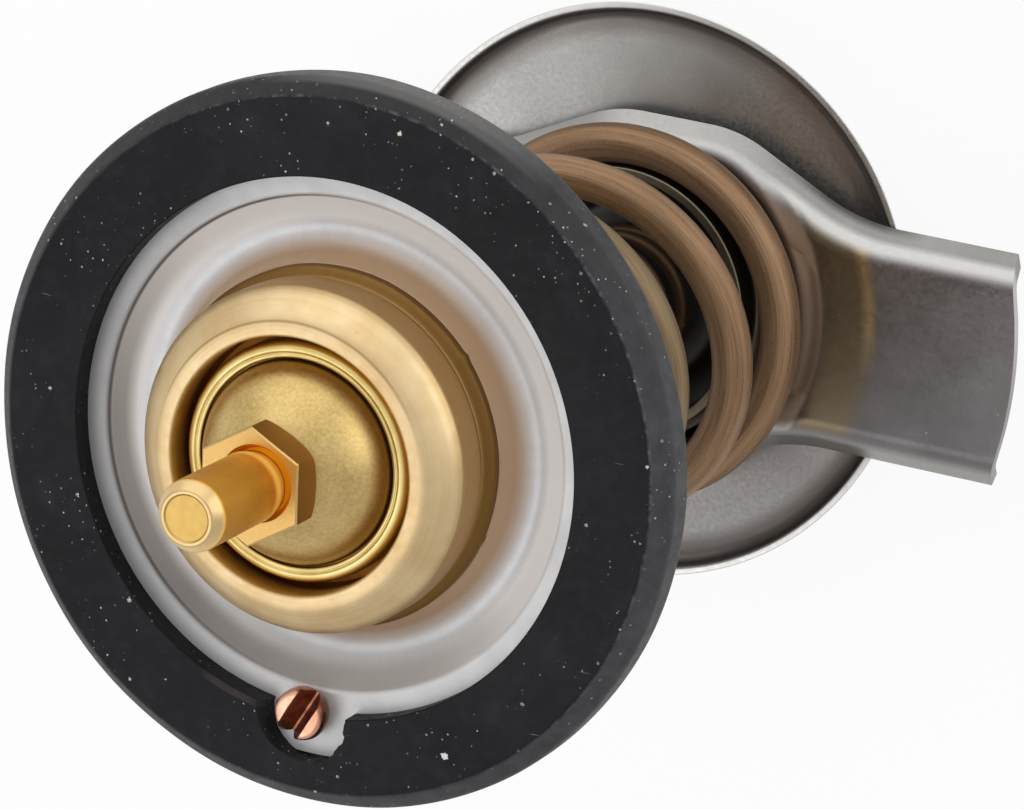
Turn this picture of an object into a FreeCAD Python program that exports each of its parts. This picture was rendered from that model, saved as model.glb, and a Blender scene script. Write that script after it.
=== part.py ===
import FreeCAD, Part
import math
import os

import Sketcher
from FreeCAD import Placement, Rotation, Vector

# Engine thermostat insert, main valve and bypass valve on one wax element.
# Frame: +Z runs along the axis towards the piston pin, z = 0 is the flat underside of the bypass disc,
# +X runs along the right wing of the bridge and the vent pin stands on the -Y side.
# Lengths are in millimetres and angles in degrees.

SIZES = {
    # Main valve
    "rim_height": 68.5,
    "plate_sheet": 1.0,
    "rim_width": 4.3,
    "trough_depth": 2.8,
    "trough_outer_width": 3.0,
    "trough_inner_width": 2.3,
    "trough_back_bend": 0.6,
    "trough_front_bend": 0.5,
    "trough_shoulder": 0.98,
    "trough_floor_round": 3.2,
    "trough_wall_round": 4.4,
    "trough_front_round": 3.6,
    "trough_wall": 1.0,
    "land_width": 0.35,
    "neck_radius": 11.6,
    # Rubber ring
    "seal_width": 4.5,
    "seal_bevel": 1.9,
    "seal_inner_gap": 2.5,
    "seal_front": 2.2,
    "seal_front_drop": 0.4,
    "seal_side": 2.6,
    "seal_back": 3.9,
    "seal_back_bevel": 1.3,
    "notch_radius": 3.7,
    # Vent pin
    "vent_circle_step": 0.2,
    "vent_shaft_radius": 1.4,
    "vent_head_radius": 2.5,
    "vent_head": 2.3,
    "vent_head_foot": 2.0,
    "vent_head_swell": 0.8,
    "vent_head_edge": 0.45,
    "vent_head_top": 2.15,
    "vent_travel": 1.5,
    "vent_tail": 1.0,
    "vent_tail_radius": 2.3,
    "vent_tail_foot": 1.68,
    "vent_tail_slope": 0.4,
    "vent_slot": 2.4,
    "vent_slot_floor": 0.5,
    "vent_slot_depth": 1.75,
    "vent_slot_angle": 62.0,
    # Brass collar round the element
    "collar_radius": 15.85,
    "collar_lip_radius": 16.55,
    "collar_lip": 1.0,
    "collar_side": 6.0,
    "collar_height": 8.3,
    "collar_mouth": 11.7,
    "collar_groove": 0.35,
    "collar_side_foot": 1.2,
    "collar_neck": 6.0,
    "collar_flare": 0.7,
    "collar_flare_length": 0.84,
    "collar_neck_taper": 0.56,
    "collar_edge": 0.7,
    "collar_edge_round": 0.9,
    "collar_front_round": 7.0,
    "collar_mouth_round": 2.0,
    "collar_ridge": 1.6,
    "collar_ridge_step": 0.25,
    "collar_inner_lip": 0.35,
    # Wax element
    "cup_radius": 9.0,
    "cup_wall": 1.2,
    "cup_floor": 1.6,
    "cup_length": 38.0,
    "crimp_radius": 11.0,
    "crimp_inner_radius": 9.5,
    "crimp_base": 3.2,
    "crimp_top": 6.9,
    "crimp_wall": 0.9,
    "crimp_edge": 0.4,
    "crimp_break": 0.15,
    "dome_radius": 10.0,
    "dome_centre": 3.0,
    "hex_flats": 9.4,
    "hex_turn": 33.0,
    "hex_front": 15.6,
    "hex_foot_inset": 1.0,
    "guide_countersink": 0.95,
    "boot_wall": 1.5,
    "boot_flange": 1.2,
    "boot_flange_radius": 7.6,
    "boot_length": 22.0,
    "boot_floor": 1.6,
    "boot_round": 0.8,
    "washer_sheet": 0.8,
    "seal_cord": 0.8,
    "seal_cord_drop": 0.72,
    # Piston pin
    "pin_radius": 3.25,
    "pin_shank_radius": 3.0,
    "pin_tip": 27.0,
    "pin_chamfer": 0.8,
    "pin_chamfer_depth": 1.0,
    "pin_tip_ridge": 0.35,
    "pin_tip_recess": 0.12,
    "pin_taper_radius": 1.5,
    "pin_taper": 5.0,
    # Stem and what it carries
    "socket_radius": 5.2,
    "socket_length": 5.0,
    "stem_inset": 0.5,
    "stem_radius": 3.3,
    "stem_chamfer": 0.5,
    "stem_clearance_below": 1.0,
    "cap_radius": 8.9,
    "cap_sheet": 1.0,
    "cap_lip": 1.04,
    "cap_lip_width": 0.7,
    "stop_washer_radius": 7.2,
    "stop_washer_sheet": 0.8,
    "clip_sheet": 0.9,
    "clip_radius": 5.9,
    "clip_groove_depth": 0.7,
    "clip_relief_radius": 1.19,
    "clip_relief_step": 0.36,
    "clip_mouth": 4.8,
    # Bypass disc
    "disc_radius": 28.9,
    "disc_sheet": 0.8,
    "disc_lip_height": 2.55,
    "disc_lip_slope": 1.6,
    "disc_lip_width": 0.68,
    "disc_wall_run": 0.72,
    "disc_wall_back": 1.04,
    "disc_wall_front": 1.25,
    "disc_wall_sheet": 0.76,
    "disc_corner": 0.48,
    "disc_bend": 1.2,
    "disc_back_round": 3.2,
    "disc_front_round": 2.4,
    "boss_radius": 9.2,
    "boss_foot": 3.0,
    "boss_rise": 4.4,
    # Bridge
    "bridge_sheet": 1.0,
    "bridge_gap": 0.35,
    "bridge_height": 2.7,
    "wing_reach": 40.8,
    "wing_half": 11.6,
    "wall_run": 2.15,
    "flank_start": 22.8,
    "far_flank_start": 17.4,
    "flank_angle": 26.0,
    "middle_half": 18.2,
    "flank_hollow": 12.0,
    "flank_round": 8.0,
    "seat_radius": 20.4,
    "seat_plate_radius": 18.0,
    "blank_spare": 2.0,
    "seat_depth": 0.5,
    "hub_radius": 13.65,
    "hub_height": 2.9,
    "hub_bend": 0.9,
    "hub_edge": 0.3,
    # Springs
    "main_wire": 3.9,
    "main_rear_radius": 17.04,
    "main_front_radius": 14.65,
    "main_turns": 5.25,
    "main_narrowing_turns": 4.9,
    "main_start_angle": 285.0,
    "main_shift_across": 0.38,
    "main_shift_along": -1.22,
    "bypass_wire": 1.3,
    "bypass_rear_radius": 6.6,
    "bypass_front_radius": 7.4,
    "bypass_turns": 7.5,
    "bypass_widening_turns": 3.75,
    "bypass_start_angle": 40.0,
    "closed_turns": 0.59,
    "pitch_ease": 0.05,
    # Clearances
    "running": 0.05,
    "face_gap": 0.1,
}

doc = FreeCAD.newDocument("thermostat")
sheet = doc.addObject("Spreadsheet::Sheet", "Sizes")
for row, (alias, value) in enumerate(SIZES.items(), start=1):
    sheet.set(f"A{row}", alias)
    sheet.set(f"B{row}", repr(value))
    sheet.setAlias(f"B{row}", alias)
doc.recompute()


class Size:
    """A length: its value now, and the formula that ties it to the sheet."""

    def __init__(self, value, text):
        self.value = value
        self.text = text

    def __add__(self, other):
        other = size(other)
        return Size(self.value + other.value, f"({self.text} + {other.text})")

    def __sub__(self, other):
        other = size(other)
        return Size(self.value - other.value, f"({self.text} - {other.text})")

    def __mul__(self, other):
        other = size(other)
        return Size(self.value * other.value, f"({self.text} * {other.text})")

    def __truediv__(self, other):
        other = size(other)
        return Size(self.value / other.value, f"({self.text} / {other.text})")

    def __neg__(self):
        return Size(-self.value, f"(-1 * {self.text})")

    def sqrt(self):
        return Size(math.sqrt(self.value), f"sqrt({self.text})")

    def sin(self):
        return Size(math.sin(math.radians(self.value)), f"sin({self.text})")

    def cos(self):
        return Size(math.cos(math.radians(self.value)), f"cos({self.text})")

    def tan(self):
        return Size(math.tan(math.radians(self.value)), f"tan({self.text})")


def size(thing):
    """A sheet cell by its name, a plain number, or a Size as it is."""
    if isinstance(thing, Size):
        return thing
    if isinstance(thing, str):
        return Size(float(sheet.get(thing)), f"Sizes.{thing}")
    return Size(float(thing), repr(float(thing)))


def new_body(name):
    body = doc.addObject("PartDesign::Body", name)
    body.Label = name
    return body


def origin_plane(body, role):
    for feature in body.Origin.OriginFeatures:
        if feature.Role == role:
            return feature
    raise ValueError(role)


def new_sketch(body, name, role, height=None):
    """A sketch on one of the body's own origin planes, lifted off it by height."""
    sketch = body.newObject("Sketcher::SketchObject", name)
    sketch.AttachmentSupport = [(origin_plane(body, role), "")]
    sketch.MapMode = "FlatFace"
    if height is not None:
        sketch.setExpression(".AttachmentOffset.Base.z", size(height).text)
    return sketch


def bind(sketch, constraint, length):
    """Adds a constraint with a value and ties it to the sheet."""
    index = sketch.addConstraint(constraint)
    sketch.setExpression(f"Constraints[{index}]", length.text)


def arc_between(start, end, radius, bulge):
    """The short arc between two points that bulges to the left (+1) or right (-1) of the way."""
    chord = end - start
    half = chord.Length / 2
    left = Vector(-chord.y, chord.x, 0).normalize()
    centre = (start + end) * 0.5 - left * (bulge * math.sqrt(max(radius * radius - half * half, 0.0)))
    first, last = (start, end) if bulge < 0 else (end, start)
    angles = [math.atan2(place.y - centre.y, place.x - centre.x) for place in (first, last)]
    if angles[1] < angles[0]:
        angles[1] += 2 * math.pi
    return Part.ArcOfCircle(Part.Circle(centre, Vector(0, 0, 1), radius), *angles)


def draw_outline(sketch, outline):
    """A closed outline. Each corner is (x, y), or (x, y, radius, bulge) where an arc arrives at it."""
    corners = [(size(c[0]), size(c[1])) + tuple(c[2:]) for c in outline]
    places = [Vector(c[0].value, c[1].value, 0) for c in corners]
    ends = []
    for i, corner in enumerate(corners):
        start = places[i - 1]
        if len(corner) == 2:
            index = sketch.addGeometry(Part.LineSegment(start, places[i]), False)
            ends.append((index, 1, 2))
            continue
        radius, bulge = size(corner[2]), corner[3]
        index = sketch.addGeometry(arc_between(start, places[i], radius.value, bulge), False)
        ends.append((index, 1, 2) if bulge < 0 else (index, 2, 1))
    for i, (index, _, last_point) in enumerate(ends):
        follower, first_point, _ = ends[(i + 1) % len(ends)]
        sketch.addConstraint(Sketcher.Constraint("Coincident", index, last_point, follower, first_point))
    for (index, _, last_point), corner in zip(ends, corners):
        bind(sketch, Sketcher.Constraint("DistanceX", -1, 1, index, last_point, corner[0].value), corner[0])
        bind(sketch, Sketcher.Constraint("DistanceY", -1, 1, index, last_point, corner[1].value), corner[1])
        if len(corner) > 2:
            radius = size(corner[2])
            bind(sketch, Sketcher.Constraint("Radius", index, radius.value), radius)


def draw_circle(sketch, x, y, radius):
    x, y, radius = size(x), size(y), size(radius)
    circle = Part.Circle(Vector(x.value, y.value, 0), Vector(0, 0, 1), radius.value)
    index = sketch.addGeometry(circle, False)
    bind(sketch, Sketcher.Constraint("DistanceX", -1, 1, index, 3, x.value), x)
    bind(sketch, Sketcher.Constraint("DistanceY", -1, 1, index, 3, y.value), y)
    bind(sketch, Sketcher.Constraint("Radius", index, radius.value), radius)


def turn(body, name, outline):
    """A feature turned about the Z axis from an outline in (radius, height)."""
    sketch = new_sketch(body, name + "_outline", "XZ_Plane")
    draw_outline(sketch, outline)
    feature = body.newObject("PartDesign::Revolution", name)
    feature.Profile = sketch
    feature.ReferenceAxis = (sketch, ["V_Axis"])
    feature.Angle = 360
    return feature


def turned_body(name, outline):
    body = new_body(name)
    turn(body, name + "_turned", outline)
    return body


def cut_down(body, name, sketch, depth=None):
    """A pocket that runs down from the sketch, through everything if no depth is given."""
    pocket = body.newObject("PartDesign::Pocket", name)
    pocket.Profile = sketch
    if depth is None:
        pocket.Type = 1
        pocket.Midplane = True
        return pocket
    pocket.Type = 0
    pocket.setExpression("Length", size(depth).text)
    return pocket


def set_height(thing, height):
    thing.setExpression(".Placement.Base.z", size(height).text)


rim = size("rim_height")
under_plate = rim - "plate_sheet"
land_radius = size("collar_lip_radius") + "land_width"
trough_middle = land_radius + "trough_inner_width"
trough_outer = trough_middle + "trough_outer_width"
seal_inner = trough_outer + "seal_inner_gap"
plate_radius = seal_inner + "rim_width"
vent_circle = seal_inner + "vent_circle_step"
cord_top = rim - "seal_cord_drop"
stem_top = rim - "cup_length" - "stem_inset"
pin_bore = size("pin_shank_radius") + "running"


def build_valve_disc():
    """Pressed steel plate: flat rim, rounded trough and a land that carries the collar."""
    sheet_t = size("plate_sheet")
    hole = size("neck_radius")
    floor = rim - "trough_depth"
    half_way = rim - size("trough_depth") / 2
    wall = size("trough_wall") / 2
    shoulder = rim - "trough_shoulder"
    body = turned_body(
        "valve_disc",
        [
            (hole, rim),
            (hole, under_plate),
            (land_radius - "trough_back_bend", under_plate),
            (land_radius, half_way - sheet_t),
            (trough_middle, floor - sheet_t, "trough_floor_round", -1),
            (trough_outer - wall, shoulder - sheet_t, "trough_wall_round", -1),
            (trough_outer + wall, under_plate),
            (plate_radius, under_plate),
            (plate_radius, rim),
            (trough_outer, rim),
            (trough_outer - wall, shoulder),
            (trough_middle, floor, "trough_front_round", 1),
            (land_radius + "trough_front_bend", half_way, "trough_floor_round", 1),
            (land_radius, rim),
        ],
    )
    hole_sketch = new_sketch(body, "vent_hole", "XY_Plane", rim)
    draw_circle(hole_sketch, 0, -vent_circle, size("vent_shaft_radius") + "running")
    cut_down(body, "vent_hole_cut", hole_sketch, sheet_t * 2)
    return body


def build_seal_ring():
    """Rubber ring moulded round the plate's rim, with a keyhole notch for the vent pin."""
    outer = plate_radius + "seal_width"
    bevel = size("seal_bevel")
    front = rim + "seal_front"
    edge = front - "seal_front_drop"
    side = edge - bevel
    back = rim - "seal_back"
    back_edge = side - "seal_side"
    body = turned_body(
        "seal_ring",
        [
            (seal_inner, front),
            (seal_inner, rim),
            (plate_radius, rim),
            (plate_radius, under_plate),
            (seal_inner, under_plate),
            (seal_inner, back),
            (outer - "seal_back_bevel", back),
            (outer, back_edge),
            (outer, side),
            (outer - bevel, edge),
        ],
    )
    notch = new_sketch(body, "notch", "XY_Plane", front)
    draw_circle(notch, 0, -vent_circle, "notch_radius")
    cut_down(body, "notch_cut", notch, size("seal_front") + "seal_back")
    return body


def build_vent_pin():
    """Copper vent pin: split front head, shaft through the plate and a tail that stops it."""
    shaft = size("vent_shaft_radius")
    head = size("vent_head_radius")
    under = rim + "face_gap"
    top = under + "vent_head"
    tail_top = under_plate - "vent_travel" - "face_gap"
    tail_foot = tail_top - "vent_tail"
    body = turned_body(
        "vent_pin",
        [
            (0, top),
            (0, tail_foot),
            ("vent_tail_foot", tail_foot),
            ("vent_tail_radius", tail_top - "vent_tail_slope"),
            ("vent_tail_radius", tail_top),
            (shaft, tail_top),
            (shaft, under),
            ("vent_head_foot", under),
            (head, under + "vent_head_swell"),
            (head, top - "vent_head_edge"),
            ("vent_head_top", top),
        ],
    )
    slot = new_sketch(body, "slot", "YZ_Plane")
    half = size("vent_slot") / 2
    floor_half = size("vent_slot_floor") / 2
    floor = top - "vent_slot_depth"
    above = top + "vent_slot_depth"
    draw_outline(
        slot,
        [
            (-half, above),
            (-half, top),
            (-floor_half, floor),
            (floor_half, floor),
            (half, top),
            (half, above),
        ],
    )
    cut = body.newObject("PartDesign::Pocket", "slot_cut")
    cut.Profile = slot
    cut.Type = 1
    cut.Midplane = True
    body.setExpression(".Placement.Base.y", (-vent_circle).text)
    body.setExpression(".Placement.Rotation.Angle", "Sizes.vent_slot_angle")
    body.Placement = Placement(Vector(), Rotation(Vector(0, 0, 1), SIZES["vent_slot_angle"]))
    return body


def build_valve_collar():
    """Turned brass collar that carries the element in the plate and is flared behind it."""
    lip = rim + "collar_lip"
    side = rim + "collar_side"
    top = rim + "collar_height"
    radius = size("collar_radius")
    mouth = size("collar_mouth")
    bore = size("cup_radius")
    neck = size("neck_radius")
    groove = size("collar_groove")
    neck_end = rim - "collar_neck"
    flare = neck + "collar_flare"
    edge = size("collar_edge")
    step = size("collar_ridge_step")
    ridge = mouth + "collar_ridge"
    ring = top - step
    dip = step * 0.6
    bed = bore + size("seal_cord") * 2
    bed_end = cord_top - size("seal_cord") * 2
    return turned_body(
        "valve_collar",
        [
            (mouth, top),
            (mouth, rim + "crimp_base"),
            (bore, rim + "crimp_base"),
            (bore, cord_top),
            (bed, cord_top),
            (bed, bed_end),
            (bore, bed_end),
            (bore, neck_end),
            (neck - "collar_neck_taper", neck_end),
            (flare, under_plate - "collar_flare_length"),
            (flare, under_plate),
            (neck, under_plate),
            (neck, rim),
            ("collar_lip_radius", rim),
            ("collar_lip_radius", lip - groove / 2),
            (size("collar_lip_radius") - groove, lip),
            (radius - groove, lip + groove),
            (radius - groove, lip + groove * 2),
            (radius, lip + "collar_side_foot"),
            (radius, side - edge * 0.7),
            (radius - edge, side + edge / 2, "collar_edge_round", -1),
            (ridge, ring - dip, "collar_front_round", -1),
            (ridge - step, ring - dip * 2),
            (ridge - step * 2, ring),
            (mouth + "collar_inner_lip", top, "collar_mouth_round", -1),
        ],
    )


def build_element_cup():
    """Drawn brass cup of the wax element: rolled front rim, long body and a socket for the stem."""
    radius = size("cup_radius")
    wall = size("cup_wall")
    floor = rim - "cup_length"
    crimp = size("crimp_radius")
    crimp_wall = size("crimp_wall")
    edge = size("crimp_edge")
    base = rim + "crimp_base"
    top = rim + "crimp_top"
    socket = size("socket_radius")
    socket_end = floor - "socket_length"
    stem = size("stem_radius")
    return turned_body(
        "element_cup",
        [
            (0, floor + "cup_floor"),
            (0, stem_top),
            (stem, stem_top),
            (stem, socket_end),
            (socket, socket_end),
            (socket, floor),
            (radius - wall, floor),
            (radius, floor + wall, wall, -1),
            (radius, base),
            (crimp - edge, base),
            (crimp, base + edge),
            (crimp, top - crimp_wall),
            (crimp - crimp_wall, top, crimp_wall, -1),
            (size("crimp_inner_radius") + "crimp_break", top),
            ("crimp_inner_radius", top - "crimp_break"),
            ("crimp_inner_radius", top - crimp_wall),
            (crimp - crimp_wall, top - crimp_wall),
            (crimp - crimp_wall, base + crimp_wall),
            (radius - wall, base + crimp_wall),
            (radius - wall, floor + "cup_floor"),
        ],
    )


def build_guide_dome():
    """Brass guide: clamped flange, round dome, hexagon and the bore that guides the pin."""
    bore = pin_bore
    top = rim + "crimp_top"
    crimp_wall = size("crimp_wall")
    flange = size("crimp_radius") - crimp_wall
    flange_top = top - crimp_wall
    flange_foot = rim + size("crimp_base") + crimp_wall
    dome = size("dome_radius")
    centre = rim + "dome_centre"
    edge = size("crimp_inner_radius") - "crimp_break"
    edge_height = centre + (dome * dome - edge * edge).sqrt()
    neck = size("hex_flats") / 2
    neck_height = centre + (dome * dome - neck * neck).sqrt()
    front = rim + "hex_front"
    sink = size("guide_countersink")
    body = turned_body(
        "guide_dome",
        [
            (bore, front - sink),
            (bore, flange_foot),
            (flange, flange_foot),
            (flange, flange_top),
            (edge, flange_top),
            (edge, edge_height),
            (neck, neck_height, dome, -1),
            (neck, front),
            (bore + sink, front),
        ],
    )
    hexagon = new_sketch(body, "hexagon", "XY_Plane", front)
    corner = size("hex_flats") / math.sqrt(3)
    turn_angle = size("hex_turn")
    corners = []
    sides = 6
    for k in range(sides):
        angle = turn_angle + 360.0 * k / sides
        corners.append((corner * angle.cos(), corner * angle.sin()))
    draw_outline(hexagon, corners)
    draw_circle(hexagon, 0, 0, bore + sink)
    pad = body.newObject("PartDesign::Pad", "hexagon_pad")
    pad.Profile = hexagon
    pad.Reversed = True
    pad.setExpression("Length", (front - neck_height + "hex_foot_inset").text)
    return body


def build_boot():
    """Rubber boot that seals the wax from the pin."""
    outer = pin_bore + "boot_wall"
    top = rim + "crimp_base" + "crimp_wall" - "washer_sheet"
    foot = rim - "boot_length"
    corner = size("boot_round")
    return turned_body(
        "piston_boot",
        [
            (pin_bore, top),
            (pin_bore, foot + "boot_floor"),
            (0, foot + "boot_floor"),
            (0, foot),
            (outer - corner, foot),
            (outer, foot + corner, corner, -1),
            (outer, top - "boot_flange"),
            ("boot_flange_radius", top - "boot_flange"),
            ("boot_flange_radius", top),
        ],
    )


def build_boot_washer():
    """Thin washer that keeps the boot from creeping into the guide."""
    top = rim + "crimp_base" + "crimp_wall"
    foot = top - "washer_sheet"
    return turned_body(
        "boot_washer",
        [(pin_bore, top), (pin_bore, foot), ("boot_flange_radius", foot), ("boot_flange_radius", top)],
    )


def build_wax():
    """Wax charge, cast round the boot."""
    boot = pin_bore + "boot_wall"
    wall = size("cup_radius") - "cup_wall"
    top = rim + "crimp_base" + "crimp_wall" - "washer_sheet" - "boot_flange"
    foot = rim - "cup_length" + "cup_floor"
    under_boot = rim - "boot_length"
    corner = size("boot_round")
    return turned_body(
        "wax_charge",
        [
            (boot, top),
            (boot, under_boot + corner),
            (boot - corner, under_boot, corner, 1),
            (0, under_boot),
            (0, foot),
            (wall, foot),
            (wall, top),
        ],
    )


def build_element_seal():
    """Rubber cord ring between the cup and the collar's bore."""
    cord = size("seal_cord")
    ring = doc.addObject("Part::Torus", "element_seal")
    ring.Label = "element_seal"
    ring.setExpression("Radius1", (size("cup_radius") + cord).text)
    ring.setExpression("Radius2", cord.text)
    set_height(ring, cord_top - cord)
    return ring


def build_piston_pin():
    """Brass piston pin: stepped free end with a chamfer and a small ridge, tapered inner end."""
    radius = size("pin_radius")
    shank = size("pin_shank_radius")
    step = rim + "hex_front" + "face_gap"
    tip = rim + "pin_tip"
    foot = rim - "boot_length" + "boot_floor" + "face_gap"
    ridge = radius - "pin_chamfer"
    face = ridge - "pin_tip_ridge"
    return turned_body(
        "piston_pin",
        [
            (0, tip - "pin_tip_recess"),
            (0, foot),
            ("pin_taper_radius", foot),
            (shank, foot + "pin_taper"),
            (shank, step),
            (radius, step),
            (radius, tip - "pin_chamfer_depth"),
            (ridge, tip),
            (face, tip),
            (face, tip - "pin_tip_recess"),
        ],
    )


def build_stem():
    """Steel stem: pressed into the cup's socket, grooved near its rear end for the clip."""
    radius = size("stem_radius")
    end = size("stem_clearance_below")
    chamfer = size("stem_chamfer")
    groove_top = clip_height() + "clip_sheet"
    groove = radius - "clip_groove_depth"
    return turned_body(
        "bypass_stem",
        [
            (0, stem_top),
            (0, end),
            (radius - chamfer, end),
            (radius, end + chamfer),
            (radius, clip_height()),
            (groove, clip_height()),
            (groove, groove_top),
            (radius, groove_top),
            (radius, stem_top),
        ],
    )


def stop_washer_height():
    return size("boss_rise") - size("disc_sheet") - "face_gap" - "stop_washer_sheet"


def clip_height():
    return stop_washer_height() - "clip_sheet"


def build_stop_washer():
    """Washer behind the bypass disc that takes its load to the clip."""
    foot = stop_washer_height()
    top = foot + "stop_washer_sheet"
    bore = size("stem_radius")
    return turned_body(
        "stop_washer",
        [(bore, top), (bore, foot), ("stop_washer_radius", foot), ("stop_washer_radius", top)],
    )


def build_stem_clip():
    """Open spring clip with three inner teeth, snapped into the stem's groove."""
    body = new_body("stem_clip")
    foot = clip_height()
    groove = size("stem_radius") - "clip_groove_depth"
    sketch = new_sketch(body, "clip_outline", "XY_Plane", foot)
    draw_circle(sketch, 0, 0, "clip_radius")
    draw_circle(sketch, 0, 0, groove)
    pad = body.newObject("PartDesign::Pad", "clip_pad")
    pad.Profile = sketch
    pad.setExpression("Length", "Sizes.clip_sheet")
    doc.recompute()
    relief = new_sketch(body, "clip_relief", "XY_Plane", foot + "clip_sheet")
    draw_circle(relief, 0, groove + "clip_relief_step", "clip_relief_radius")
    pocket = cut_down(body, "clip_relief_cut", relief, size("clip_sheet") * 2)
    doc.recompute()
    pattern = body.newObject("PartDesign::PolarPattern", "clip_relief_pattern")
    pattern.Originals = [pocket]
    pattern.Axis = (relief, ["N_Axis"])
    pattern.Angle = 360
    pattern.Occurrences = 3
    body.Tip = pattern
    doc.recompute()
    mouth = new_sketch(body, "clip_mouth", "XY_Plane", foot + "clip_sheet")
    half = size("clip_mouth") / 2
    beyond = size("clip_radius") * 2
    draw_outline(
        mouth,
        [
            (-half, 0),
            (-half, -beyond),
            (half, -beyond),
            (half, 0),
        ],
    )
    cut_down(body, "clip_mouth_cut", mouth, size("clip_sheet") * 2)
    return body


def build_spring_cap():
    """Steel cap that seats the bypass spring under the cup."""
    top = rim - "cup_length"
    foot = top - "cap_sheet"
    bore = size("socket_radius")
    cap = size("cap_radius")
    lip = foot - "cap_lip"
    return turned_body(
        "spring_cap",
        [
            (bore, top),
            (bore, foot),
            (cap - "cap_sheet", foot),
            (cap - "cap_lip_width", lip),
            (cap, lip),
            (cap, top),
        ],
    )


def build_bypass_disc():
    """Pressed bypass valve disc: flat pan, turned-up lip and a raised boss for the stem."""
    outer = size("disc_radius")
    sheet_t = size("disc_sheet")
    lip = size("disc_lip_height")
    corner = size("disc_corner")
    floor_radius = outer - "disc_lip_slope" - corner
    wall = outer - "disc_wall_run"
    boss = size("boss_radius")
    foot = boss + "boss_foot"
    rise = size("boss_rise")
    bore = size("stem_radius") + "running"
    bend = size("disc_bend")
    return turned_body(
        "bypass_disc",
        [
            (bore, rise),
            (bore, rise - sheet_t),
            (boss - sheet_t / 2, rise - sheet_t),
            (foot, 0),
            (floor_radius - bend / 2, 0),
            (wall, "disc_wall_back", "disc_back_round", -1),
            (outer, lip),
            (outer - "disc_lip_width", lip),
            (wall - "disc_wall_sheet", "disc_wall_front"),
            (floor_radius - bend, sheet_t, "disc_front_round", 1),
            (foot + sheet_t / 2, sheet_t),
            (boss, rise),
        ],
    )


def bridge_underside():
    """Height of the bridge's lowest face, its lip, which the bypass disc nearly meets from behind."""
    return size("disc_lip_height") + "bridge_gap"


def bridge_face():
    """Height of the bridge's flat front face."""
    return bridge_underside() + "bridge_height"


def spring_seat():
    """Height of the pressed seat that the main spring stands on."""
    return bridge_face() - "seat_depth"


def quarter_plan(inset, end, flank_start):
    """One quarter of the bridge's plan: from a wing's end along its edge and flank to the middle."""
    angle = size("flank_angle")
    half_tan = (angle / 2).tan()
    wing = size("wing_half") - inset
    middle = size("middle_half") - inset
    hollow = size("flank_hollow") + inset
    corner = size("flank_round") - inset
    hollow_x = size(flank_start) - inset * half_tan
    corner_x = hollow_x - (size("middle_half") - "wing_half") / angle.tan()
    hollow_run = hollow * half_tan
    corner_run = corner * half_tan
    points = [
        (end, wing),
        (hollow_x + hollow_run, wing),
        (hollow_x - hollow_run * angle.cos(), wing + hollow_run * angle.sin()),
        (corner_x + corner_run * angle.cos(), middle - corner_run * angle.sin()),
        (corner_x - corner_run, middle),
    ]
    return points, [(), (), (hollow, 1), (), (corner, -1)]


def bridge_plan(inset, end):
    """Plan of the bridge, moved inward by inset: two straight wings that widen towards the middle."""
    outline = []
    for side_x, side_y in ((1, 1), (-1, 1), (-1, -1), (1, -1)):
        points, arcs = quarter_plan(inset, end, "flank_start" if side_x > 0 else "far_flank_start")
        steps = list(zip(points, arcs))
        if side_x * side_y < 0:
            steps = list(zip(points, arcs[1:] + [()]))[::-1]
        outline += [(x * side_x, y * side_y) + arc for (x, y), arc in steps]
    return outline


def loft(body, name, kind, inset_low, low, inset_high, high, end):
    """A loft between two insets of the bridge's plan at two heights."""
    sections = []
    for part, inset, height in (("low", inset_low, low), ("high", inset_high, high)):
        section = new_sketch(body, f"{name}_{part}", "XY_Plane", height)
        draw_outline(section, bridge_plan(inset, end))
        sections.append(section)
    feature = body.newObject(f"PartDesign::{kind}Loft", name)
    feature.Profile = sections[0]
    feature.Sections = [sections[1]]
    feature.Ruled = True
    doc.recompute()
    return feature


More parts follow.
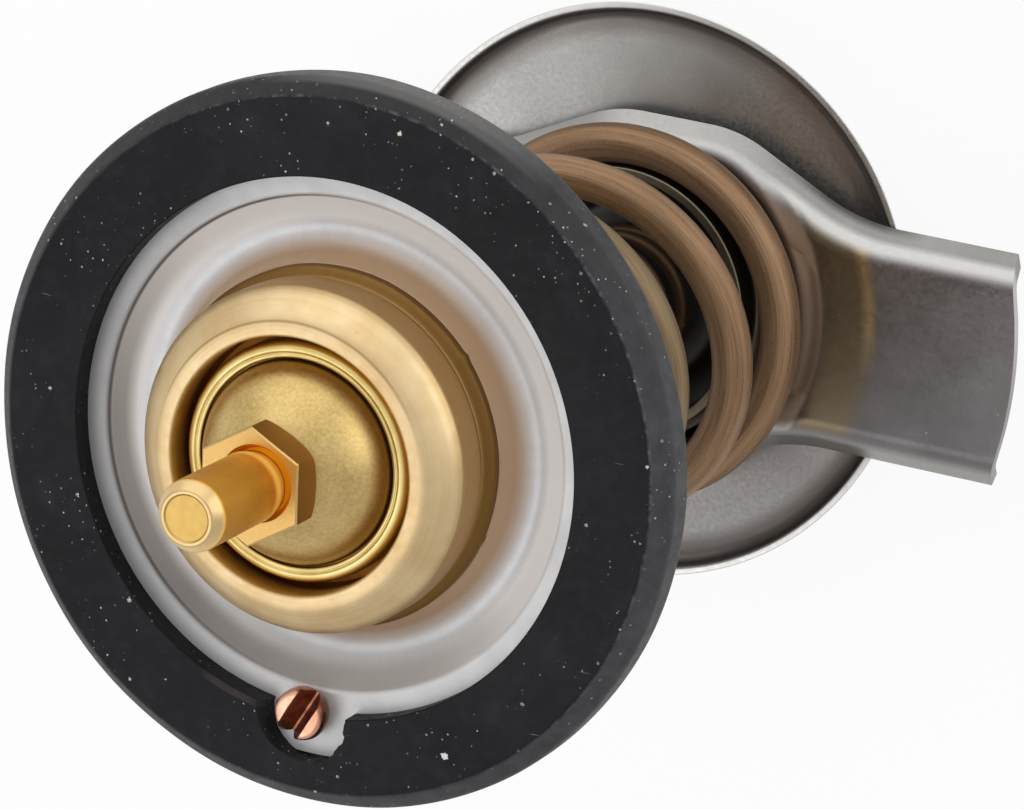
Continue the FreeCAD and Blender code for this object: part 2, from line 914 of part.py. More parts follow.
def build_bridge():
    """Pressed steel bridge: two wings with walls and a lip bent back, a spring seat and a drawn hub."""
    body = new_body("bridge")
    under = bridge_underside()
    face = bridge_face()
    seat = spring_seat()
    thick = size("bridge_sheet")
    run = size("wall_run")
    slope = run / "bridge_height"
    wall = thick * (slope * slope + 1).sqrt()
    blank_end = size("wing_reach") + "blank_spare"
    nothing = size(0)
    loft(body, "walls", "Additive", nothing, under, run, face, blank_end)
    lip = new_sketch(body, "lip_outline", "XY_Plane", under)
    draw_outline(lip, bridge_plan(nothing, blank_end))
    lip_pad = body.newObject("PartDesign::Pad", "lip_pad")
    lip_pad.Profile = lip
    lip_pad.setExpression("Length", thick.text)
    doc.recompute()
    inner_run = wall + slope * (size("bridge_height") - thick)
    loft(body, "inside", "Subtractive", wall, under, inner_run, face - thick, blank_end + "blank_spare")
    dish = new_sketch(body, "seat_circle", "XY_Plane", face)
    draw_circle(dish, 0, 0, "seat_radius")
    cut_down(body, "seat_cut", dish, "seat_depth")
    backing = size("seat_plate_radius")
    turn(
        body,
        "seat_plate",
        [
            (0, seat),
            (0, seat - thick),
            (backing - "seat_depth", seat - thick),
            (backing, face - thick),
            (backing, seat),
        ],
    )
    doc.recompute()
    outer = size("hub_radius")
    inner = outer - thick
    bore = new_sketch(body, "hub_bore", "XY_Plane", face)
    draw_circle(bore, 0, 0, inner)
    cut_down(body, "hub_bore_cut", bore, face)
    bend = size("hub_bend")
    top = seat + "hub_height"
    edge = size("hub_edge")
    turn(
        body,
        "hub",
        [
            (inner, seat - thick),
            (outer + bend, seat - thick),
            (outer + bend, seat),
            (outer, seat + bend, bend, 1),
            (outer, top - edge),
            (outer - edge, top, edge, -1),
            (inner + edge, top),
            (inner, top - edge, edge, -1),
        ],
    )
    doc.recompute()
    tips = new_sketch(body, "tip_cut_outline", "XY_Plane", face)
    far = blank_end + size("blank_spare") * 2
    draw_outline(tips, [(far, far), (-far, far), (-far, -far), (far, -far)])
    draw_circle(tips, 0, 0, "wing_reach")
    cut_down(body, "tip_cut", tips, face)
    return body


def clamped(share):
    return min(max(share, 0.0), 1.0)


def spring_curve(rear_radius, front_radius, rear, front, turns, blend_turns, start_angle, shift):
    """Centreline of a coil with closed end turns; radius and sideways shift change over its first turns."""
    samples_per_turn = 16
    count = round(turns * samples_per_turn)
    closed = SIZES["closed_turns"]

    def climbed(at):
        share = clamped((at - closed) / (turns - 2 * closed))
        return share + SIZES["pitch_ease"] * math.sin(2 * math.pi * share)

    points = []
    for i in range(count + 1):
        at = turns * i / count
        bend = 1 / samples_per_turn
        risen = (climbed(at - bend) + 2 * climbed(at) + climbed(at + bend)) / 4
        blended = clamped((at - closed) / blend_turns)
        blended = blended * blended * (3 - 2 * blended)
        radius = rear_radius + (front_radius - rear_radius) * blended
        angle = math.radians(start_angle) + 2 * math.pi * at
        around = Vector(radius * math.cos(angle), radius * math.sin(angle), rear + (front - rear) * risen)
        points.append(around + shift * (1 - blended))
    return points


def coil(name, points, wire_radius):
    """One round wire swept along the given points, in spans of a quarter of a turn."""
    points_per_span = 4
    path = Part.BSplineCurve()
    path.interpolate(points)
    knots = path.getKnots()
    cuts = knots[:-1:points_per_span] + [knots[-1]]
    spans = [path.toShape(first, last) for first, last in zip(cuts, cuts[1:])]
    tangent = path.tangent(path.FirstParameter)[0]
    section = Part.Wire([Part.Circle(points[0], tangent, wire_radius).toShape()])
    feature = doc.addObject("Part::Feature", name)
    feature.Label = name
    feature.Shape = Part.Wire(spans).makePipeShell([section], True, False)
    return feature


def build_main_spring():
    """Main return spring, wide at the bridge and narrow under the plate, pushed to -Y at its wide end."""
    wire = SIZES["main_wire"] / 2
    shift = Vector(SIZES["main_shift_across"], SIZES["main_shift_along"], 0)
    points = spring_curve(
        SIZES["main_rear_radius"],
        SIZES["main_front_radius"],
        spring_seat().value + SIZES["running"] + wire,
        under_plate.value - wire - 2 * SIZES["face_gap"],
        SIZES["main_turns"],
        SIZES["main_narrowing_turns"],
        SIZES["main_start_angle"],
        shift,
    )
    return coil("main_spring", points, wire)


def build_bypass_spring():
    """Light spring that holds the bypass disc against its stop."""
    wire = SIZES["bypass_wire"] / 2
    cap_foot = SIZES["rim_height"] - SIZES["cup_length"] - SIZES["cap_sheet"] - SIZES["running"]
    points = spring_curve(
        SIZES["bypass_rear_radius"],
        SIZES["bypass_front_radius"],
        SIZES["boss_rise"] + SIZES["running"] + wire,
        cap_foot - wire,
        SIZES["bypass_turns"],
        SIZES["bypass_widening_turns"],
        SIZES["bypass_start_angle"],
        Vector(),
    )
    return coil("bypass_spring", points, wire)


pieces = [
    build_bridge(),
    build_main_spring(),
    build_valve_disc(),
    build_seal_ring(),
    build_valve_collar(),
    build_element_cup(),
    build_guide_dome(),
    build_boot(),
    build_boot_washer(),
    build_wax(),
    build_element_seal(),
    build_piston_pin(),
    build_stem(),
    build_stop_washer(),
    build_stem_clip(),
    build_spring_cap(),
    build_bypass_spring(),
    build_bypass_disc(),
    build_vent_pin(),
]
doc.recompute()

for thing in doc.Objects:
    if "Invalid" in thing.State or "Error" in thing.State:
        raise RuntimeError(f"{thing.Name} failed: {thing.State}")
for piece in pieces:
    if piece.Shape.isNull() or not piece.Shape.isValid():
        raise RuntimeError(f"{piece.Label} has no valid shape")

os.makedirs("parts", exist_ok=True)
for piece in pieces:
    piece.Shape.exportStep(f"parts/{piece.Label}.step")
    box = piece.Shape.BoundBox
    print(
        f"{piece.Label}: {len(piece.Shape.Solids)} solid, volume {piece.Shape.Volume:.1f}, "
        f"radius {box.XMax:.2f}, z {box.ZMin:.2f} to {box.ZMax:.2f}"
    )
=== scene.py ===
from functools import cached_property
from math import acos, atan2, ceil, copysign, cos, degrees, exp, hypot
from math import pi, radians, remainder, sin, sqrt, tan

import bmesh
import bpy
from mathutils import Matrix, Vector


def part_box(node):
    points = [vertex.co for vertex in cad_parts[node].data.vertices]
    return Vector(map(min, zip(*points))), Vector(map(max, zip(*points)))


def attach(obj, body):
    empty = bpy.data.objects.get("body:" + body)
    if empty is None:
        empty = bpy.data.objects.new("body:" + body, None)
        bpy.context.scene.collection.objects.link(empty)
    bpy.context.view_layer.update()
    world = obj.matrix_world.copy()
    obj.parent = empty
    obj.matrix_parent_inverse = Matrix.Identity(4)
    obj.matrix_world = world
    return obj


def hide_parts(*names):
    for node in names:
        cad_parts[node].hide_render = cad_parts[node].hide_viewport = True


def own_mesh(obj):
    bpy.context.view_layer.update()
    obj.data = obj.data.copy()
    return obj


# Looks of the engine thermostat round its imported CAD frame.
# Places and sizes are in millimetres and become metres where a mesh is made.
# Heights are taken from the frame. Those of the main valve are counted from its plate's front face, RIM.

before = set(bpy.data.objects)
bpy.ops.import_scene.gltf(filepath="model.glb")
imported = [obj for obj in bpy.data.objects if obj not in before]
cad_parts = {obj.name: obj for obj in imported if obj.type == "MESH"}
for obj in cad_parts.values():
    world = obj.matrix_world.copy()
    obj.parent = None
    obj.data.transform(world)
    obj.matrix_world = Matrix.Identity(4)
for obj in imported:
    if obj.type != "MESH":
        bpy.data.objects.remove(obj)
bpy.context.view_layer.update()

MM = 0.001
IMAGE_WIDTH = 1024
# Points round a turned piece, from the largest pieces to the smallest.
BIG_TURN = 288
SMALL_TURN = 144
FINE_TURN = 96
# Edges sharper than this, in degrees, stay sharp in the shading.
SHARP = 38.0
# Points closer together than this are one.
MERGED = 0.002


def ends_of(node):
    """A node's lowest and highest point along the axis."""
    low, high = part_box(node)
    return low.z / MM, high.z / MM


def reach_of(node):
    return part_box(node)[1].x / MM


RIM = ends_of("valve_disc")[1]

# Camera: what it sees of the frame's axes (right, down, away) and of the plate's centre.
AXIS_SEEN = Vector((-0.4295, 0.2245, -0.8746)).normalized()
WING_SEEN = Vector((0.8984, 0.1999, -0.390))
PLATE_CENTRE_SEEN = Vector((-16.07, 3.64, 532.7))
FOCAL_PIXELS = 6000
SENSOR = 36.0

WING_SEEN = (WING_SEEN - AXIS_SEEN * WING_SEEN.dot(AXIS_SEEN)).normalized()
SIDE_SEEN = AXIS_SEEN.cross(WING_SEEN)
VIEW_RIGHT = Vector((WING_SEEN.x, SIDE_SEEN.x, AXIS_SEEN.x))
VIEW_UP = -Vector((WING_SEEN.y, SIDE_SEEN.y, AXIS_SEEN.y))
VIEW_BACK = -Vector((WING_SEEN.z, SIDE_SEEN.z, AXIS_SEEN.z))


def set_camera():
    place = Vector((
        -PLATE_CENTRE_SEEN.dot(WING_SEEN),
        -PLATE_CENTRE_SEEN.dot(SIDE_SEEN),
        RIM - PLATE_CENTRE_SEEN.dot(AXIS_SEEN),
    ))
    data = bpy.data.cameras.new("camera")
    data.sensor_width = SENSOR
    data.lens = FOCAL_PIXELS * SENSOR / IMAGE_WIDTH
    data.clip_start = 0.05
    data.clip_end = 20.0
    camera = bpy.data.objects.new("camera", data)
    turn = Matrix((VIEW_RIGHT, VIEW_UP, VIEW_BACK)).transposed().to_4x4()
    camera.matrix_world = Matrix.Translation(place * MM) @ turn
    bpy.context.scene.collection.objects.link(camera)
    bpy.context.scene.camera = camera


# Mesh making

def smoothed(mesh, sharp_angle):
    mesh.shade_smooth()
    mesh.set_sharp_from_angle(angle=radians(sharp_angle))


def add_object(name, vertices, faces, sharp_angle=SHARP):
    """Closed mesh from points in millimetres, its faces turned outward and shaded smooth."""
    mesh = bpy.data.meshes.new(name)
    mesh.from_pydata([Vector(point) * MM for point in vertices], [], faces)
    shape = bmesh.new()
    shape.from_mesh(mesh)
    bmesh.ops.recalc_face_normals(shape, faces=shape.faces)
    shape.to_mesh(mesh)
    shape.free()
    smoothed(mesh, sharp_angle)
    made = bpy.data.objects.new(name, mesh)
    bpy.context.scene.collection.objects.link(made)
    return made


def even_shading(thing):
    """Keeps flats flat next to small rounded edges."""
    weighted = thing.modifiers.new("even_shading", "WEIGHTED_NORMAL")
    weighted.keep_sharp = True
    weighted.weight = 80


def broken_edges(thing, width, angle):
    """Breaks the edges sharper than the angle with a small bevel, before any other modifier."""
    edges = thing.modifiers.new("edges", "BEVEL")
    edges.width = width * MM
    edges.segments = 2
    edges.limit_method = "ANGLE"
    edges.angle_limit = radians(angle)
    thing.modifiers.move(len(thing.modifiers) - 1, 0)


def eased(share):
    """0 to 1 with a soft start and end."""
    share = min(max(share, 0.0), 1.0)
    return share * share * (3 - 2 * share)


def skin_faces(rows, count):
    """Faces between rows of count points that close round, and a cap at both ends."""
    faces = [list(range(count)), list(range((rows - 1) * count, rows * count))]
    for i in range(rows - 1):
        for k in range(count):
            after = (k + 1) % count
            faces.append([i * count + k, i * count + after, (i + 1) * count + after, (i + 1) * count + k])
    return faces


def softened(corners, closed=True, steps=5):
    """Outline of (radius, height) corners; a third number rounds a corner off by that reach."""
    points = []
    last, most = len(corners) - 1, 0.48
    for i, corner in enumerate(corners):
        here = Vector(corner[:2])
        if len(corner) < 3 or (not closed and i in (0, last)):
            points.append(here)
            continue
        before = Vector(corners[i - 1][:2]) - here
        after = Vector(corners[(i + 1) % len(corners)][:2]) - here
        reach = min(corner[2], before.length * most, after.length * most)
        start = here + before.normalized() * reach
        end = here + after.normalized() * reach
        for k in range(steps + 1):
            t = k / steps
            points.append(start * (1 - t) ** 2 + here * (2 * t * (1 - t)) + end * t ** 2)
    return points


def arc(centre, radius, first, last, steps):
    """Points of an arc in (radius, height), angles in degrees."""
    angles = [radians(first + (last - first) * k / steps) for k in range(steps + 1)]
    return [(centre[0] + radius * cos(a), centre[1] + radius * sin(a)) for a in angles]


def turned(name, outline, segments=BIG_TURN, wobble=None):
    """Closed mesh turned about the axis. wobble(angle, radius, height) moves a point out and up."""
    vertices, rings = [], []
    for radius, height in outline:
        on_axis = radius < MERGED
        rings.append(range(len(vertices), len(vertices) + (1 if on_axis else segments)))
        if on_axis:
            vertices.append((0, 0, height))
            continue
        for k in range(segments):
            angle = 2 * pi * k / segments
            out, up = wobble(angle, radius, height) if wobble else (0, 0)
            vertices.append(((radius + out) * cos(angle), (radius + out) * sin(angle), height + up))
    faces = []
    for ring, following in zip(rings, rings[1:] + rings[:1]):
        if len(ring) == 1 and len(following) == 1:
            continue
        for k in range(segments):
            after = (k + 1) % segments
            corners = [ring[k % len(ring)], following[k % len(following)],
                       following[after % len(following)], ring[after % len(ring)]]
            faces.append(list(dict.fromkeys(corners)))
    made = add_object(name, vertices, faces)
    even_shading(made)
    return made


def prism(name, rings):
    """Closed mesh through rings of equally many points, capped at both ends."""
    vertices = [point for ring in rings for point in ring]
    return add_object(name, vertices, skin_faces(len(rings), len(rings[0])))


def combined(base, tool, operation, sharp_angle=SHARP):
    """Cuts the tool from the base or joins it, and removes the tool."""
    base.modifiers.clear()
    step = base.modifiers.new("combine", "BOOLEAN")
    step.operation = operation
    step.solver = "EXACT"
    step.object = tool
    view = bpy.context.evaluated_depsgraph_get()
    mesh = bpy.data.meshes.new_from_object(base.evaluated_get(view))
    base.modifiers.clear()
    base.data = mesh
    bpy.data.objects.remove(tool)
    shape = bmesh.new()
    shape.from_mesh(mesh)
    bmesh.ops.remove_doubles(shape, verts=shape.verts, dist=MERGED * MM)
    bmesh.ops.dissolve_degenerate(shape, edges=shape.edges, dist=MERGED * MM)
    shape.to_mesh(mesh)
    shape.free()
    smoothed(mesh, sharp_angle)
    even_shading(base)


def stands_for(piece, node, body, material):
    """The piece takes a CAD node's place, body, finish and material slot."""
    piece.data.materials.clear()
    piece.data.materials.append(material)
    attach(piece, body)
    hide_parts(node)


# Materials: node helpers

def feed(tree, socket, value):
    if isinstance(value, bpy.types.NodeSocket):
        tree.links.new(value, socket)
    else:
        socket.default_value = value


def add_node(tree, kind, inputs=(), **settings):
    """A shader node with its settings, its inputs set or linked."""
    made = tree.nodes.new("ShaderNode" + kind)
    for setting, value in settings.items():
        setattr(made, setting, value)
    for socket, value in dict(inputs).items():
        feed(tree, made.inputs[socket], value)
    return made


class Finish:
    """A procedural material and short names for the nodes that make it. base is its colour so far."""

    def __init__(self, name, **sockets):
        self.material = bpy.data.materials.new(name)
        self.material.use_nodes = True
        self.tree = self.material.node_tree
        self.shader = self.tree.nodes["Principled BSDF"]
        self.base = None
        for socket, value in sockets.items():
            self.shader.inputs[socket.replace("_", " ")].default_value = value

    def add(self, kind, inputs=(), **settings):
        return add_node(self.tree, kind, inputs, **settings)

    def math(self, operation, first, second=0.0):
        return self.add("Math", {0: first, 1: second}, operation=operation).outputs[0]

    def vector(self, operation, first, second=(0, 0, 0)):
        """Vector maths; for SCALE the second input is a number."""
        place = 3 if operation == "SCALE" else 1
        made = self.add("VectorMath", {0: first, place: second}, operation=operation)
        return made.outputs["Value" if operation in ("LENGTH", "DOT_PRODUCT", "DISTANCE") else "Vector"]

    @cached_property
    def spot(self):
        """Where a point is, in millimetres."""
        return self.vector("SCALE", self.add("TexCoord").outputs["Object"], 1 / MM)

    @cached_property
    def parts(self):
        return self.add("SeparateXYZ", {0: self.spot}).outputs

    @cached_property
    def flat(self):
        return self.vector("MULTIPLY", self.spot, (1, 1, 0))

    @cached_property
    def radius(self):
        """Distance from the axis."""
        return self.vector("LENGTH", self.flat)

    @cached_property
    def outward(self):
        return self.vector("NORMALIZE", self.flat)

    @cached_property
    def facing(self):
        """How far the surface faces along the axis: 1 forward, 0 sideways, -1 to the rear."""
        return self.add("SeparateXYZ", {0: self.add("NewGeometry").outputs["Normal"]}).outputs[2]

    def round_place(self, along, across):
        """Place for marks that run round the axis: slow along the way round, fast across it."""
        fast = self.add("CombineXYZ", {
            0: self.math("MULTIPLY", self.radius, across),
            2: self.math("MULTIPLY", self.parts[2], across),
        })
        return self.vector("ADD", self.vector("SCALE", self.outward, along), fast.outputs[0])

    def spoke_place(self, across, along):
        """Place for marks that run out from the axis."""
        fast = self.vector("SCALE", self.outward, across)
        return self.vector("ADD", fast, self.vector("SCALE", self.spot, along))

    def stretched(self, turn, scale):
        """The place turned about Z and scaled per axis, for marks in one direction."""
        inputs = {"Vector": self.spot, "Rotation": (0, 0, radians(turn)), "Scale": scale}
        return self.add("Mapping", inputs).outputs[0]

    def remap(self, value, low, high, to_low=0.0, to_high=1.0):
        """0 up to low and 1 from high, or the other way round where low is the larger."""
        inputs = {"Value": value, "From Min": low, "From Max": high, "To Min": to_low, "To Max": to_high}
        return self.add("MapRange", inputs, clamp=True).outputs[0]

    def ring(self, low, high):
        return self.remap(self.radius, low, high)

    def rise(self, low, high, to_low=0.0, to_high=1.0):
        return self.remap(self.parts[2], low, high, to_low, to_high)

    def lean(self, across, along, low, high, to_low=0.0, to_high=1.0):
        """As remap, by how far a point lies out in one direction, between -1 and 1."""
        turned_to = self.vector("DOT_PRODUCT", self.outward, (across, along, 0))
        return self.remap(turned_to, low, high, to_low, to_high)

    def band(self, centre, half, soft):
        """1 within half of a radius, falling to 0 over soft."""
        gap = self.math("ABSOLUTE", self.math("SUBTRACT", self.radius, centre))
        return self.remap(gap, half + soft, half)

    def folded(self, operation, values):
        joined = values[0]
        for value in values[1:]:
            joined = self.math(operation, joined, value)
        return joined

    def both(self, *shares):
        return self.folded("MULTIPLY", shares)

    def most(self, *values):
        return self.folded("MAXIMUM", values)

    def mixed(self, first, second, share):
        """A share of the first value and the rest of the second."""
        return self.math("ADD", self.both(first, share), self.both(second, 1 - share))

    def noise(self, scale, detail=3.0, roughness=0.55, vector=None):
        inputs = {"Vector": vector or self.spot, "Scale": scale, "Detail": detail, "Roughness": roughness}
        return self.add("TexNoise", inputs).outputs["Fac"]

    def tones(self, value, *stops):
        """A colour band from (place, colour) stops."""
        node = self.add("ValToRGB", {0: value})
        band = node.color_ramp
        while len(band.elements) < len(stops):
            band.elements.new(0.5)
        for element, (spot, colour) in zip(band.elements, stops):
            element.position = spot
            element.color = (*colour, 1.0)
        return node.outputs[0]

    def blend(self, share, first, second):
        node = self.add("Mix", {"Factor": share}, data_type="RGBA")
        for socket, colour in ((6, first), (7, second)):
            feed(self.tree, node.inputs[socket], (*colour, 1.0) if isinstance(colour, tuple) else colour)
        return node.outputs[2]

    def lay(self, colour, *shares):
        """Lays a colour over the base, as strong as the product of the shares."""
        self.base = self.blend(self.both(*shares), self.base, colour)

    def specks(self, spacing, size, share, seed=0.0, vector=None):
        """Scattered small spots: 1 in a spot, 0 elsewhere. share of the cells hold one."""
        vector = vector or self.spot
        ruffle = self.add("TexNoise", {"Vector": vector, "Scale": 1.6 / size, "Detail": 2.0})
        spot = self.vector("ADD", vector, self.vector("SCALE", ruffle.outputs["Color"], size * 1.6))
        shifted = self.vector("ADD", spot, (seed, seed * 1.7, seed * 0.3))
        cells = self.add("TexVoronoi", {"Vector": shifted, "Scale": 1 / spacing})
        chance = self.add("SeparateColor", {0: cells.outputs["Color"]})
        gap = self.both(cells.outputs["Distance"], spacing)
        limit = self.remap(chance.outputs[1], 0.0, 1.0, size * 0.35, size)
        inside = self.remap(self.math("DIVIDE", gap, limit), 1.0, 0.75)
        return self.both(inside, self.math("LESS_THAN", chance.outputs[0], share))

    def near(self, place, radius, ragged=0.35):
        """1 within a ragged patch round one spot."""
        warp = self.math("SUBTRACT", self.noise(1.8 / radius, 3.0, 0.5), 0.5)
        gap = self.vector("DISTANCE", self.spot, place)
        return self.remap(self.math("ADD", gap, self.both(warp, radius * ragged * 4)), radius, radius * 0.8)

    def rough(self, value, low, high):
        feed(self.tree, self.shader.inputs["Roughness"], self.remap(value, 0.3, 0.7, low, high))

    def bump(self, height, distance):
        """Adds relief of a height map, its distance in millimetres, over any set before."""
        node = self.add("Bump", {"Height": height, "Distance": distance * MM, "Strength": 1.0})
        before = self.shader.inputs["Normal"]
        if before.links:
            self.tree.links.new(before.links[0].from_socket, node.inputs["Normal"])
        self.tree.links.new(node.outputs[0], before)

    def done(self):
        feed(self.tree, self.shader.inputs["Base Color"], self.base)
        return self.material


# Materials

# Pale marks on the rubber: place, reach, colour.
RUBBER_MARKS = (
    ((4.4, 31.0, 69.9), 0.42, (0.72, 0.72, 0.50)),
    ((5.0, 29.9, 70.2), 0.30, (0.66, 0.68, 0.48)),
    ((14.6, -25.4, 70.4), 0.36, (0.72, 0.72, 0.72)),
)
# Fine scratches on the rubber: direction in degrees, seed.
RUBBER_SCRATCHES = ((35.0, 3.0), (-62.0, 11.0), (80.0, 23.0), (8.0, 41.0))


def rubber_finish():
    """Black moulded rubber: dusty, finely scratched, greyer on its bevel, with a few pale marks; painted
    shade on the bevel's top and painted highlights along its edge and outer top.
    """
    made = Finish("ring_rubber", Specular_IOR_Level=0.14)
    cloud = made.noise(0.12, 4.0)
    made.base = made.tones(cloud, (0.3, (0.0070, 0.0072, 0.0085)), (0.7, (0.0125, 0.0128, 0.0150)))
    film = made.remap(made.noise(0.35, 5.0, 0.65), 0.52, 0.75, 0.0, 0.35)
    made.lay((0.028, 0.029, 0.031), film)
    bevel_grey = made.tones(made.noise(0.5, 4.0), (0.3, (0.040, 0.040, 0.042)), (0.7, (0.062, 0.062, 0.066)))
    # Painted shade: the bevel is darker towards the top.
    painted_top_shade = made.both(made.lean(0.0, 1.0, 0.3, 0.95), 0.7)
    made.lay(made.blend(painted_top_shade, bevel_grey, (0.018, 0.018, 0.019)), made.ring(31.75, 32.0))
    # Toward the right-hand upper side: a painted highlight line along the bevel's edge, and more dust specks
    # on the edge.
    sheen_and_dust_side = made.lean(0.75, 0.66, -0.2, 0.8, 0.12, 1.0)
    broken = made.remap(made.noise(0.9, 4.0, 0.7), 0.45, 0.7)
    made.lay((0.20, 0.20, 0.21), made.band(31.88, 0.04, 0.16), sheen_and_dust_side, broken, 0.45)
    # Painted highlight: a pale band along the outer edge at the top.
    painted_top_highlight = made.lean(0.15, 0.99, 0.9, 0.99)
    made.lay((0.16, 0.155, 0.15), made.band(33.3, 0.2, 0.3), painted_top_highlight, 0.6)
    drawn_out = (0.13, 1.5, 0.5)
    scratches = [made.specks(1.9, 0.12, 0.13, seed, made.stretched(turn, drawn_out))
                 for turn, seed in RUBBER_SCRATCHES]
    made.lay((0.34, 0.34, 0.35), made.most(*scratches), 0.4)
    crowded = made.both(made.specks(0.55, 0.12, 0.5), made.remap(made.noise(0.16, 2.0), 0.48, 0.60))
    on_edge = made.both(made.specks(0.9, 0.17, 0.6, 31.0), made.band(32.0, 0.3, 0.9), sheen_and_dust_side)
    dust = made.most(crowded, made.specks(2.2, 0.20, 0.46, 7.0), made.specks(5.0, 0.30, 0.46, 19.0), on_edge)
    made.lay((0.66, 0.66, 0.64), dust, made.remap(made.noise(0.8, 2.0), 0.35, 0.65, 0.35, 1.0), 0.9)
    beside_vent = made.lean(-0.276, -0.961, 0.990, 0.997)
    made.lay((0.040, 0.034, 0.032), made.band(25.1, 0.3, 0.12), beside_vent, 0.8)
    for place, reach, tint in RUBBER_MARKS:
        made.lay(tint, made.near(place, reach))
    made.rough(made.noise(1.1, 4.0), 0.44, 0.6)
    made.bump(made.noise(5.0), 0.012)
    made.bump(dust, 0.02)
    return made.done()


def satin_steel(name, dark, light, low, high):
    """Pressed satin steel: soft clouds, a fine grain and small dark and light dots."""
    made = Finish(name, Metallic=1.0)
    fine = made.noise(5.5, 4.0, 0.7)
    made.base = made.tones(made.mixed(fine, made.noise(0.14), 0.45), (0.38, dark), (0.62, light))
    made.lay((0.20, 0.18, 0.16), made.specks(1.9, 0.11, 0.25), 0.35)
    made.lay((0.85, 0.84, 0.82), made.specks(3.1, 0.10, 0.22, 13.0), 0.5)
    made.rough(made.noise(2.4, 4.0), low, high)
    made.bump(fine, 0.006)
    return made


def disc_finish():
    """Bypass disc: satin grey with a painted highlight on its lip, a painted warm reflection on its right,
    and painted shade below, in the lip's crease and round its boss.
    """
    made = satin_steel("disc_steel", (0.38, 0.368, 0.352), (0.47, 0.458, 0.442), 0.34, 0.46)
    pan = made.ring(28.0, 27.5)
    # Painted reflection: the pan is warmer on its right.
    made.lay((0.62, 0.55, 0.50), made.lean(0.97, 0.24, 0.55, 0.8), pan, 0.5)
    # Painted shade: the pan is darker towards the bottom.
    made.lay((0.21, 0.195, 0.185), made.lean(0.25, -0.97, 0.4, 0.8), pan, 0.8)
    # Painted highlight on the lip.
    made.lay((0.72, 0.71, 0.69), made.ring(28.15, 28.3))
    # Painted shade in the crease where the lip rises from the pan.
    groove = made.band(27.85, 0.1, 0.15)
    made.lay((0.12, 0.11, 0.10), groove, 0.7)
    # Painted shade round the boss, under the spring.
    painted_boss_shade = made.ring(17.5, 13.0)
    made.lay((0.035, 0.032, 0.028), painted_boss_shade, 0.9)
    return made.done()


def bridge_finish(face):
    """Bridge: dark satin flats, painted darker below, with painted olive and amber reflections and a painted
    light band beside the spring seat, and painted shade in the seat and bore; brighter walls and bends with
    painted highlights and a painted shadow wedge.
    """
    made = satin_steel("bridge_steel", (0.40, 0.39, 0.38), (0.5, 0.49, 0.48), 0.32, 0.42)
    across, along = made.parts[0], made.parts[1]
    value = made.mixed(made.noise(7.0, 4.0, 0.7), made.noise(0.22), 0.5)
    # Painted shade: the flats are darker below the middle than above it.
    upper = made.tones(value, (0.38, (0.30, 0.275, 0.275)), (0.62, (0.39, 0.36, 0.36)))
    lower = made.tones(value, (0.38, (0.15, 0.142, 0.145)), (0.62, (0.20, 0.19, 0.194)))
    made.base = made.blend(made.remap(along, -10.0, 8.0), lower, upper)
    # Painted reflections: an olive zone and an amber streak beside the spring seat.
    olive = made.both(made.ring(20.7, 21.7), made.ring(27.2, 25.2), 0.85)
    made.lay((0.25, 0.195, 0.115), olive)
    amber = made.both(made.band(25.9, 0.1, 0.9), made.remap(along, -3.0, 3.0), made.remap(across, 0.0, 5.0))
    made.lay((0.80, 0.56, 0.26), amber, 0.55)
    # Painted light: a pale band on the seat ring beside the coil.
    painted_seat_light = made.both(made.ring(18.4, 18.9), made.ring(21.2, 20.7))
    made.lay((0.72, 0.70, 0.68), painted_seat_light, 0.8)
    # seat and bore carry painted shade, behind the coils and inside the hub's bore.
    seat, hub, bore = made.ring(18.6, 17.8), made.ring(14.6, 14.1), made.ring(12.8, 12.7)
    made.lay((0.06, 0.052, 0.045), seat, 0.8)
    made.lay((0.24, 0.215, 0.155), hub)
    made.lay((0.05, 0.042, 0.032), bore)
    made.lay((0.75, 0.74, 0.73), made.specks(1.7, 0.10, 0.3, 13.0), 0.6)
    flat = made.base
    made.base = made.tones(value, (0.38, (0.25, 0.243, 0.232)), (0.62, (0.31, 0.303, 0.29)))
    # Painted light on the walls: highlights along the upper wall's bend and towards its middle, and a
    # separate tone on the lower wall.
    made.lay((0.50, 0.495, 0.48), made.rise(face - 1.5, face - 0.9), made.remap(along, -4.0, 4.0))
    made.lay((0.30, 0.29, 0.275), made.remap(along, 4.0, -4.0), 0.6)
    made.lay((0.44, 0.432, 0.415), made.remap(across, 14.0, 4.0), made.remap(along, 4.0, 8.0), 0.7)
    # Painted shadow along the lower part of the upper wall.
    painted_shadow_wedge = made.both(made.rise(face - 1.9, face - 2.5), made.remap(along, 9.0, 10.0),
                           made.remap(across, 12.0, 19.0), made.remap(across, 30.0, 25.0))
    made.lay((0.06, 0.055, 0.05), painted_shadow_wedge, 0.85)
    bent = made.both(made.remap(made.facing, 0.97, 0.84), made.ring(15.6, 16.4))
    made.base = made.blend(bent, flat, made.base)
    return made.done()


